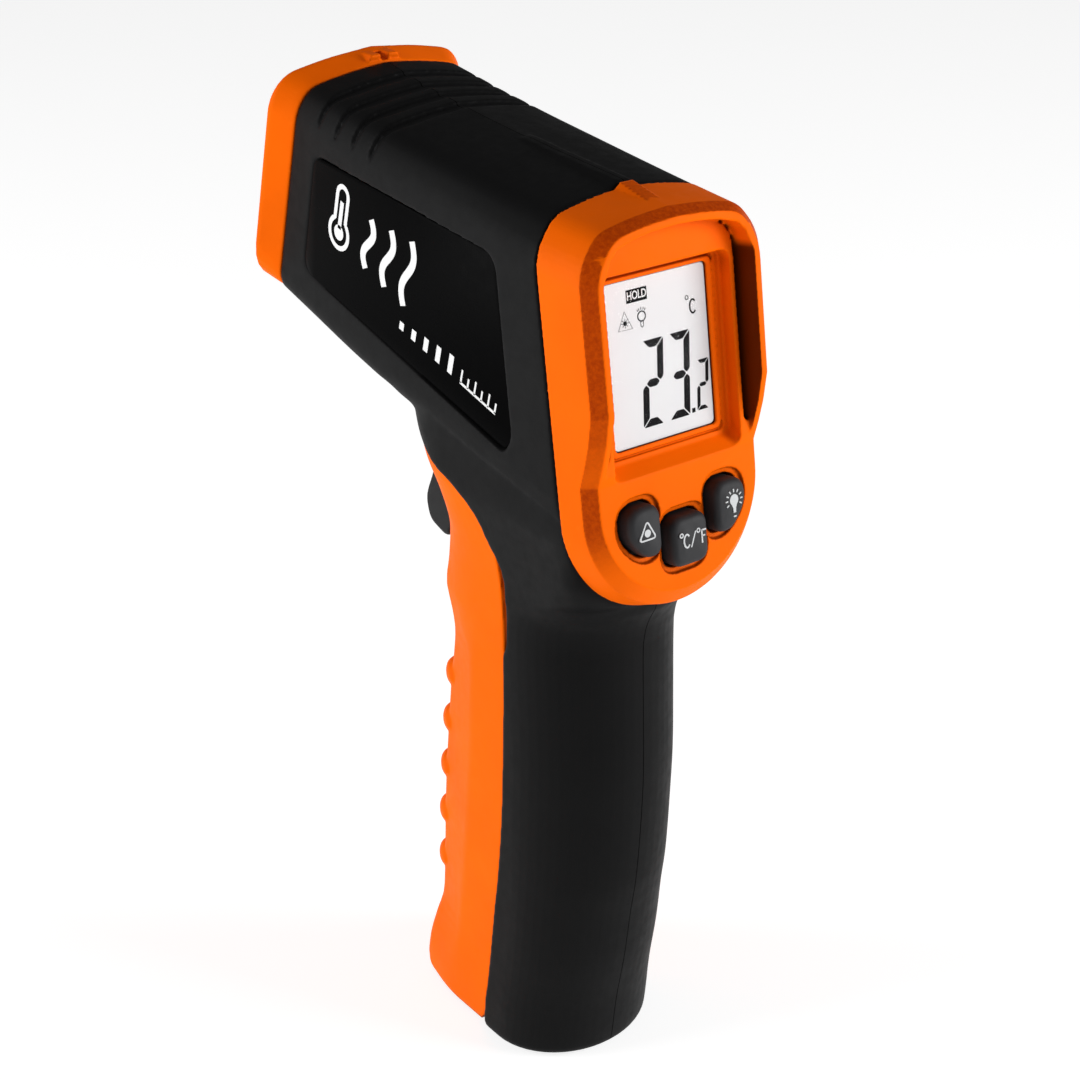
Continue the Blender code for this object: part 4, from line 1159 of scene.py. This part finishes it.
def build_key_icons():
    """Symbols printed on the keys: a triangle with a dot, the two units and a bulb with rays."""
    bm = bmesh.new()
    triangle = rounded(((-8.75, -22.75), (-10.45, -25.75), (-7.15, -25.75)), 0.7, 5)
    add_line(bm, triangle, 0.26, INK, FACE, closed=True)
    add_plate(bm, circle(0.6, (-8.78, -24.72), 24), INK, FACE)
    mark(bm, "laser_key_symbol", "laser_key")

    bm = bmesh.new()
    for centre in ((-2.2, -26.95), (1.18, -26.95)):
        add_line(bm, circle(0.3, centre, 16), 0.2, INK, FACE, closed=True)
    letter_c = [(-1.2 + 0.58 * math.cos(turn), -28.05 + 1.05 * math.sin(turn))
                for turn in [math.radians(38 + 284 * step / 18) for step in range(19)]]
    add_line(bm, letter_c, 0.27, INK, FACE)
    add_line(bm, [(0.62, -26.85), (-0.42, -29.25)], 0.22, INK, FACE)
    add_line(bm, [(1.85, -27.0), (1.85, -29.15)], 0.27, INK, FACE)
    add_line(bm, [(1.8, -27.1), (2.72, -27.1)], 0.26, INK, FACE)
    add_line(bm, [(1.8, -28.0), (2.5, -28.0)], 0.24, INK, FACE)
    mark(bm, "unit_key_symbol", "unit_key")

    bm = bmesh.new()
    centre = Vector((8.85, -24.1))
    bulb = [tuple(centre + Vector((0.86 * math.cos(turn), 0.92 * math.sin(turn))))
            for turn in [math.radians(-50 + 280 * step / 20) for step in range(21)]]
    bulb += [(centre.x + across, v) for across, v in ((-0.28, -25.4), (-0.26, -26.15), (0.26, -26.15),
                                                      (0.28, -25.4))]
    add_plate(bm, bulb, INK, FACE)
    add_plate(bm, rectangle(0.26, 0.13, (centre.x + 0.02, -26.75)), INK, FACE)
    for step in range(9):
        turn = math.radians(-30 + 240 * step / 8)
        out = Vector((math.cos(turn), math.sin(turn)))
        add_line(bm, [tuple(centre + out * 1.25), tuple(centre + out * 1.75)], 0.22, INK, FACE)
    mark(bm, "backlight_key_symbol", "backlight_key")


def mark(bm, name, body, look=None):
    made = finish_mesh(name, bm, look or GREY_INK)
    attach(made, body)
    return made


SEGMENTS = {"2": "abged", "3": "abgcd"}
FIELD_FRONT = -0.3
SEGMENT_SPAN = (FIELD_FRONT - 0.03, FIELD_FRONT + 0.03)
SEGMENT_LEAN = 0.075


def add_digit(bm, digit, left, right, bottom, top, stroke, gap):
    """One slanted seven-segment digit with mitred ends."""
    middle = (top + bottom) / 2
    half = stroke / 2

    def lean(x, v):
        return x + SEGMENT_LEAN * v, v

    shapes = {
        "a": ((left + gap, top), (right - gap, top), (right - stroke - gap, top - stroke),
              (left + stroke + gap, top - stroke)),
        "d": ((left + gap, bottom), (left + stroke + gap, bottom + stroke),
              (right - stroke - gap, bottom + stroke), (right - gap, bottom)),
        "g": ((left + half + gap, middle), (left + stroke + gap, middle + half),
              (right - stroke - gap, middle + half), (right - half - gap, middle),
              (right - stroke - gap, middle - half), (left + stroke + gap, middle - half)),
        "b": ((right, top - gap), (right, middle + half + gap), (right - half, middle + gap),
              (right - stroke, middle + half + gap), (right - stroke, top - stroke - gap)),
        "c": ((right, bottom + gap), (right - stroke, bottom + stroke + gap),
              (right - stroke, middle - half - gap), (right - half, middle - gap),
              (right, middle - half - gap)),
        "e": ((left, bottom + gap), (left, middle - half - gap), (left + half, middle - gap),
              (left + stroke, middle - half - gap), (left + stroke, bottom + stroke + gap)),
    }
    for name in SEGMENTS[digit]:
        outline = rounded([lean(x, v) for x, v in shapes[name]], 0.18 * stroke, 2)
        add_plate(bm, outline, SEGMENT_SPAN, FACE)


PANE_HALF = (9.95, 12.6)


def build_display():
    """Clear window over the liquid crystal display, with its digits and symbols."""
    window = prism("display_window_pane", rounded(rectangle(*PANE_HALF), 0.8), (-0.22, -0.02), FACE, WINDOW)
    hand_over(window, "casing", "display_window")
    field = prism("display_glass_field", rounded(rectangle(11.1, 14.2), 0.6), (-2.85, -1.05), FACE)
    join(field, prism("raised", rounded(rectangle(*PANE_HALF), 0.9), (-2.0, FIELD_FRONT), FACE))
    dress(field.data, FIELD)
    hand_over(field, "casing", "display_glass")

    bm = bmesh.new()
    add_digit(bm, "2", -3.28, 0.77, -10.3, 2.95, 1.2, 0.13)
    add_digit(bm, "3", 1.99, 6.06, -10.3, 2.95, 1.2, 0.13)
    add_digit(bm, "2", 7.55, 9.85, -10.05, -2.2, 0.62, 0.09)
    add_plate(bm, rectangle(0.33, 0.36, (6.05, -9.8)), SEGMENT_SPAN, FACE)
    add_plate(bm, rectangle(2.0, 1.0, (-3.5, 10.13)), SEGMENT_SPAN, FACE)
    letter_c = [(7.3 + 0.6 * math.cos(turn), 6.25 + 1.05 * math.sin(turn))
                for turn in [math.radians(42 + 276 * step / 18) for step in range(19)]]
    add_line(bm, letter_c, 0.28, SEGMENT_SPAN, FACE)
    add_plate(bm, circle(0.36, (-6.05, 6.3), 20), SEGMENT_SPAN, FACE)
    add_line(bm, circle(0.74, (-2.8, 6.78), 28), 0.2, SEGMENT_SPAN, FACE, closed=True)
    mark(bm, "display_segments", "casing", SEGMENT_INK)

    bm = bmesh.new()
    add_line(bm, circle(0.3, (6.2, 7.75), 16), 0.15, SEGMENT_SPAN, FACE, closed=True)
    add_line(bm, ((-6.06, 8.05), (-7.42, 5.32), (-4.7, 5.3)), 0.13, SEGMENT_SPAN, FACE, closed=True)
    centre = Vector((-6.05, 6.3))
    for turn in turns(2 * math.pi, 8)[:-1]:
        out = Vector((math.cos(turn), math.sin(turn)))
        add_line(bm, [tuple(centre + out * 0.42), tuple(centre + out * 0.72)], 0.1, SEGMENT_SPAN, FACE)
    for x in (-3.68, -3.3, -2.85, -2.4, -1.95):
        out = Vector((x + 2.82, 1.15)).normalized()
        start = Vector((-2.82, 6.75)) + out * 1.0
        add_line(bm, [tuple(start), tuple(start + out * 0.42)], 0.13, SEGMENT_SPAN, FACE)
    bulb_foot = ((-3.05, 6.0), (-3.05, 5.3), (-2.8, 5.08), (-2.55, 5.3), (-2.55, 6.0))
    add_line(bm, bulb_foot, 0.14, SEGMENT_SPAN, FACE)
    mark(bm, "display_symbols", "casing", FAINT_INK)

    letters = text_mesh("display_hold", "HOLD", 1.75, (-3.5, 10.13), FIELD_FRONT + 0.05, 0.78)
    letters.data.materials.append(FIELD)
    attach(letters, "casing")


def text_mesh(name, words, size, centre, height, narrow):
    """Generic block letters as a thin mesh on the display's plane."""
    curve = bpy.data.curves.new(name, "FONT")
    curve.body = words
    curve.size = size
    curve.align_x = "CENTER"
    curve.align_y = "CENTER"
    curve.extrude = 0.02
    curve.offset = 0.03
    writer = bpy.data.objects.new(name, curve)
    bpy.context.scene.collection.objects.link(writer)
    mesh = bpy.data.meshes.new_from_object(writer.evaluated_get(bpy.context.evaluated_depsgraph_get()))
    bpy.data.objects.remove(writer)
    for vertex in mesh.vertices:
        x, v, n = vertex.co
        vertex.co = world(FACE @ Vector((centre[0] + x * narrow, centre[1] + v, height + n)))
    made = bpy.data.objects.new(name, mesh)
    bpy.context.scene.collection.objects.link(made)
    return made


# ---------------------------------------------------------------- nose, labels and trigger

NOSE_SECTION = BARREL_STATIONS[0][2:7] + (3.4,)
# Radius and distance along the barrel of the viewing cone's two ends, and how many ridges it has.
CONE_MOUTH = (10.4, 81.1)
CONE_THROAT = (6.4, 67.6)
CONE_RIDGES = 12


def build_nose():
    """Orange nose ring round the black front bezel, whose cone looks out at the target."""
    stages = ((77.2, 17.0, 12.3, 0.87, 4.4, -28.3), (77.35, 17.2, 12.5, 0.87, 4.4, -28.5),
              (77.9, 17.5, 12.6, 0.87, 4.6, -28.6), (81.2, 19.3, 13.0, 0.86, 7.5, -28.9),
              (81.8, 19.5, 13.0, 0.86, 7.8, -29.0), (82.1, 19.4, 12.9, 0.86, 7.7, -28.85),
              (82.3, 19.0, 12.6, 0.86, 7.4, -28.5))
    rings = [[BARREL_ALONG @ Vector((x, up, reach))
              for x, up in barrel_section(width, top, 2.6, 3.9, shoulder, bend, bottom)]
             for reach, width, top, shoulder, bend, bottom in stages]
    ring = loft("nose_ring_moulding", rings)
    ridge = [[BARREL_ALONG @ Vector((x, 12.2 + up * (0.45 + 0.55 * share), 80.9 - 3.2 * share))
              for x, up in ((-3.3, 0.0), (-2.6, 1.35), (2.6, 1.35), (3.3, 0.0))]
             for share in (0.0, 1.0)]
    join(ring, loft("sight_block", ridge))
    cut(ring, prism("sight_slot", rectangle(0.75, 1.2, (0.0, 13.4)), (77.6, 80.2), BARREL_ALONG))
    opening = barrel_section(*NOSE_SECTION, inset=2.0)
    cut(ring, prism("opening", opening, (70, 90), BARREL_ALONG))
    soften(ring, 0.22, 3, 0.4, ORANGE)
    hand_over(ring, "casing", "nose_ring")

    plate = barrel_section(*NOSE_SECTION, inset=2.3)
    bezel = prism("front_bezel_moulding", plate, (79.0, 80.8), BARREL_ALONG)
    centre = BARREL_ALONG @ Vector((0, OPTICS_HEIGHT, 0))
    cut(bezel, cylinder("aperture", 12.0, (70, 90), (0, OPTICS_HEIGHT), BARREL_ALONG, segments=96))
    cone = [(12.5, 79.0), (12.5, 80.8), (11.9, 81.4), (11.2, 81.6), (10.6, 81.4)]
    for step in range(CONE_RIDGES):
        inner = CONE_MOUTH[0] - (CONE_MOUTH[0] - CONE_THROAT[0]) * (step + 1) / CONE_RIDGES
        reach = CONE_MOUTH[1] - (CONE_MOUTH[1] - CONE_THROAT[1]) * (step + 1) / CONE_RIDGES
        cone += [(inner + 0.42, reach + 0.35), (inner, reach)]
    cone += [(7.9, 67.2), (7.9, 61.5), (9.2, 61.5), (9.2, 69.0)]
    join(bezel, lathe("cone", cone, centre, BARREL_ALONG, segments=96))
    cut(bezel, cylinder("laser_hole", 2.2, (70, 90), (0, LASER_HEIGHT), BARREL_ALONG, segments=48))
    cut(bezel, lathe("laser_dish", ((0, 81.5), (3.3, 81.5), (3.3, 80.8), (2.2, 80.0), (0, 80.0)),
                     BARREL_ALONG @ Vector((0, LASER_HEIGHT, 0)), BARREL_ALONG, segments=48))
    soften(bezel, 0.24, 1, 0.4, FRONT_BLACK)
    hand_over(bezel, "casing", "front_bezel")

    dome = [(7.5 * math.sin(turn), 64.9 + 1.7 * math.cos(turn))
            for turn in turns(math.pi / 2, 10)]
    lens = lathe("infrared_lens_dome", dome + [(7.5, 64.2), (0, 64.2)], centre, BARREL_ALONG, LENS)
    hand_over(lens, "casing", "infrared_lens")


def build_labels():
    """Gloss black side panels with a plain white thermometer symbol and a scale."""
    for name, side in (("left", -1), ("right", 1)):
        rings = [[BARREL_SIDEWAYS @ Vector((a, b, side * c)) for a, b in label_outline(inset)]
                 for c, inset in ((16.9, 0.3), (17.2, 0.3), (17.27, 0.34), (17.3, 0.42))]
        label = loft(f"{name}_label_panel", rings, LABEL)
        hand_over(label, "casing", f"{name}_label")
        bm = bmesh.new()
        label_print(bm, side)
        mark(bm, f"{name}_label_print", "casing", WHITE_INK)


PRINT_LOW, PRINT_HIGH = 17.29, 17.33


def label_print(bm, side):
    """A thermometer and three heat waves, over a row of rising bars and a short scale."""
    span = (side * PRINT_LOW, side * PRINT_HIGH)

    def draw(points, width, closed=False):
        add_line(bm, points, width, span, BARREL_SIDEWAYS, closed)

    bulb, radius, tube_half, tube_top = Vector((61.0, -8.2)), 2.7, 1.55, -1.4
    opening = math.degrees(math.asin(tube_half / radius))
    stem = [tuple(bulb + Vector((radius * math.cos(turn), radius * math.sin(turn))))
            for turn in [math.radians(90 + opening + (360 - 2 * opening) * step / 28) for step in range(29)]]
    tube = [(bulb.x + tube_half * math.cos(turn), tube_top + tube_half * math.sin(turn))
            for turn in turns(math.pi, 12)]
    draw(stem + tube, 0.85, closed=True)
    add_plate(bm, circle(1.35, tuple(bulb), 24), span, BARREL_SIDEWAYS)
    add_plate(bm, rectangle(0.5, 2.5, (bulb.x, -5.0)), span, BARREL_SIDEWAYS)
    for index in range(3):
        middle = 52.6 - 5.6 * index
        low, tall = -10.3 - 0.35 * index, 9.0 + 1.4 * index
        wave = [(middle + 1.1 * math.sin(2 * math.pi * step / 24), low + tall * step / 24)
                for step in range(25)]
        draw(wave, 1.5)
    for index in range(5):
        add_plate(bm, rectangle(0.6, 0.7 + 0.25 * index, (41.0 - 3.4 * index, -14.6 + 0.25 * index)), span,
                  BARREL_SIDEWAYS)
    draw([(24.5, -15.2), (15.0, -15.2)], 0.45)
    for index in range(6):
        place = 24.3 - 1.82 * index
        draw([(place, -15.2), (place, -13.4 if index % 2 else -12.8)], 0.4)


def build_trigger():
    """Trigger lever with softened edges."""
    y, z = TRIGGER_PIVOT
    corners = ((y + 3.0, z + 2.6), (y + 4.4, z - 3.0), (50.0, -27.0), (52.8, -35.2), (55.5, -41.2),
               (54.2, -45.2), (49.0, -47.0), (46.0, -41.0), (42.2, -32.0), (y - 2.6, z - 6.0),
               (32.0, z - 2.4), (30.6, z - 1.0), (30.6, z + 1.3), (37.4, z + 1.3), (y - 2.0, z + 2.6))
    bends = (1.5, 3.0, 4.5, 4.5, 2.2, 1.4, 1.6, 3.0, 5.0, 3.0, 0.8, 0.8, 0.6, 1.0, 1.0)
    outline = rounded(corners, bends, 6)
    rings = [[SIDEWAYS @ Vector((a, b, c)) for a, b in grown(outline, change)]
             for c, change in ((-5.5, -0.9), (-5.3, -0.45), (-4.9, -0.12), (-4.3, 0.0),
                               (4.3, 0.0), (4.9, -0.12), (5.3, -0.45), (5.5, -0.9))]
    trigger = loft("trigger_lever", rings)
    cut(trigger, cylinder("bore", 1.3, (-20, 20), TRIGGER_PIVOT, SIDEWAYS, segments=32))
    soften(trigger, 0.25, 5, 0.4, TRIGGER_BLACK)
    hand_over(trigger, "trigger", "trigger")


# ---------------------------------------------------------------- carried-over parts and studio

CARRIED = {
    "lens_retainer": FRONT_BLACK, "sensor_holder": ALUMINIUM, "thermopile_sensor": SENSOR_CAN,
    "sensor_board": BOARD, "laser_module": BRASS, "trigger_pin": STEEL, "trigger_spring": STEEL,
    "switch_board": BOARD, "trigger_switch": SWITCH_BLACK, "battery_tray": TRAY_BLACK,
    "battery_cell_left": CELL, "battery_cell_right": CELL, "battery_spring_left": STEEL,
    "battery_spring_right": STEEL, "battery_contact_left": STEEL, "battery_contact_right": STEEL,
    "main_board": BOARD, "controller_chip": CHIP, "buzzer": BUZZER, "light_guide": ACRYLIC,
    "contact_strip": STRIP, "key_membrane": MEMBRANE, "barrel_upper_screw": STEEL,
    "barrel_lower_screw": STEEL, "grip_upper_screw": STEEL, "grip_lower_screw": STEEL,
    "board_screw_1": STEEL, "board_screw_2": STEEL, "board_screw_3": STEEL, "board_screw_4": STEEL,
}


def dress_carried():
    """Gives every frame part that stays its own finish."""
    for name, look in CARRIED.items():
        dress(frame["nodes"][name].data, look)


# Studio, in metres: half the floor's side, and the soft lights' places and power.
FLOOR_REACH = 40.0
LIT_POINT = (0.0, 0.0, 0.09)
SOFTBOX_SIZE = (0.5, 0.7)
SOFTBOXES = (("left_front_softbox", (-0.8, 0.42, 0.3), 7.0), ("right_rear_softbox", (0.62, -0.75, 0.3), 9.4))
# The photograph's camera: focal length, place from the display's centre, and two of its directions.
CAMERA_LENS = 69.03
CAMERA_PLACE = (-194.34, -219.36, 108.17)
CAMERA_RIGHT = (0.788, -0.6157, 0.0)
CAMERA_FORWARD = (0.5563, 0.7119, -0.4281)


def aim_at(thing, target):
    thing.rotation_mode = "QUATERNION"
    thing.rotation_quaternion = (Vector(target) - thing.location).to_track_quat("-Z", "Y")


def area_light(name, place, target, size, power):
    lamp = bpy.data.lights.new(name, "AREA")
    lamp.shape = "RECTANGLE"
    lamp.size, lamp.size_y = size
    lamp.energy = power
    made = bpy.data.objects.new(name, lamp)
    bpy.context.scene.collection.objects.link(made)
    made.location = place
    aim_at(made, target)


def build_studio():
    """Pale floor, soft lights on both sides and the camera."""
    scene = bpy.context.scene
    scene.view_settings.view_transform = "Standard"
    bm = bmesh.new()
    for x, y in rectangle(FLOOR_REACH, FLOOR_REACH):
        bm.verts.new((x, y, 0.0))
    bm.verts.ensure_lookup_table()
    bm.faces.new(bm.verts)
    made, tree, shader, place = new_material("studio_floor")
    tree.links.new(mixed(tree, noise(tree, place, 3.0), (0.52, 0.52, 0.52), (0.56, 0.56, 0.56)),
                   shader.inputs["Base Color"])
    shader.inputs["Roughness"].default_value = 0.8
    shader.inputs["Specular IOR Level"].default_value = 0.1
    shader.inputs["Emission Color"].default_value = (1.0, 1.0, 1.0, 1.0)
    shader.inputs["Emission Strength"].default_value = 0.76
    floor = finish_mesh("studio_floor", bm, made)

    world_look = bpy.data.worlds.new("studio")
    world_look.use_nodes = True
    world_look.node_tree.nodes["Background"].inputs["Color"].default_value = (1.0, 1.0, 1.0, 1.0)
    world_look.node_tree.nodes["Background"].inputs["Strength"].default_value = 0.16
    scene.world = world_look

    for name, place, power in SOFTBOXES:
        area_light(name, place, LIT_POINT, SOFTBOX_SIZE, power)

    lens = bpy.data.cameras.new("camera")
    lens.lens = CAMERA_LENS
    lens.sensor_width = 36.0
    lens.clip_start = 0.01
    lens.clip_end = 100.0
    camera = bpy.data.objects.new("camera", lens)
    scene.collection.objects.link(camera)
    camera.location = world(CAMERA_PLACE)
    right = Vector(CAMERA_RIGHT).normalized()
    forward = Vector(CAMERA_FORWARD).normalized()
    up = right.cross(forward).normalized()
    camera.rotation_euler = axes(right, up, -forward).to_euler()
    scene.camera = camera


build_studio()
build_housing()
build_keys()
build_key_icons()
build_display()
build_nose()
build_labels()
build_trigger()
build_door()
build_shells()
dress_carried()
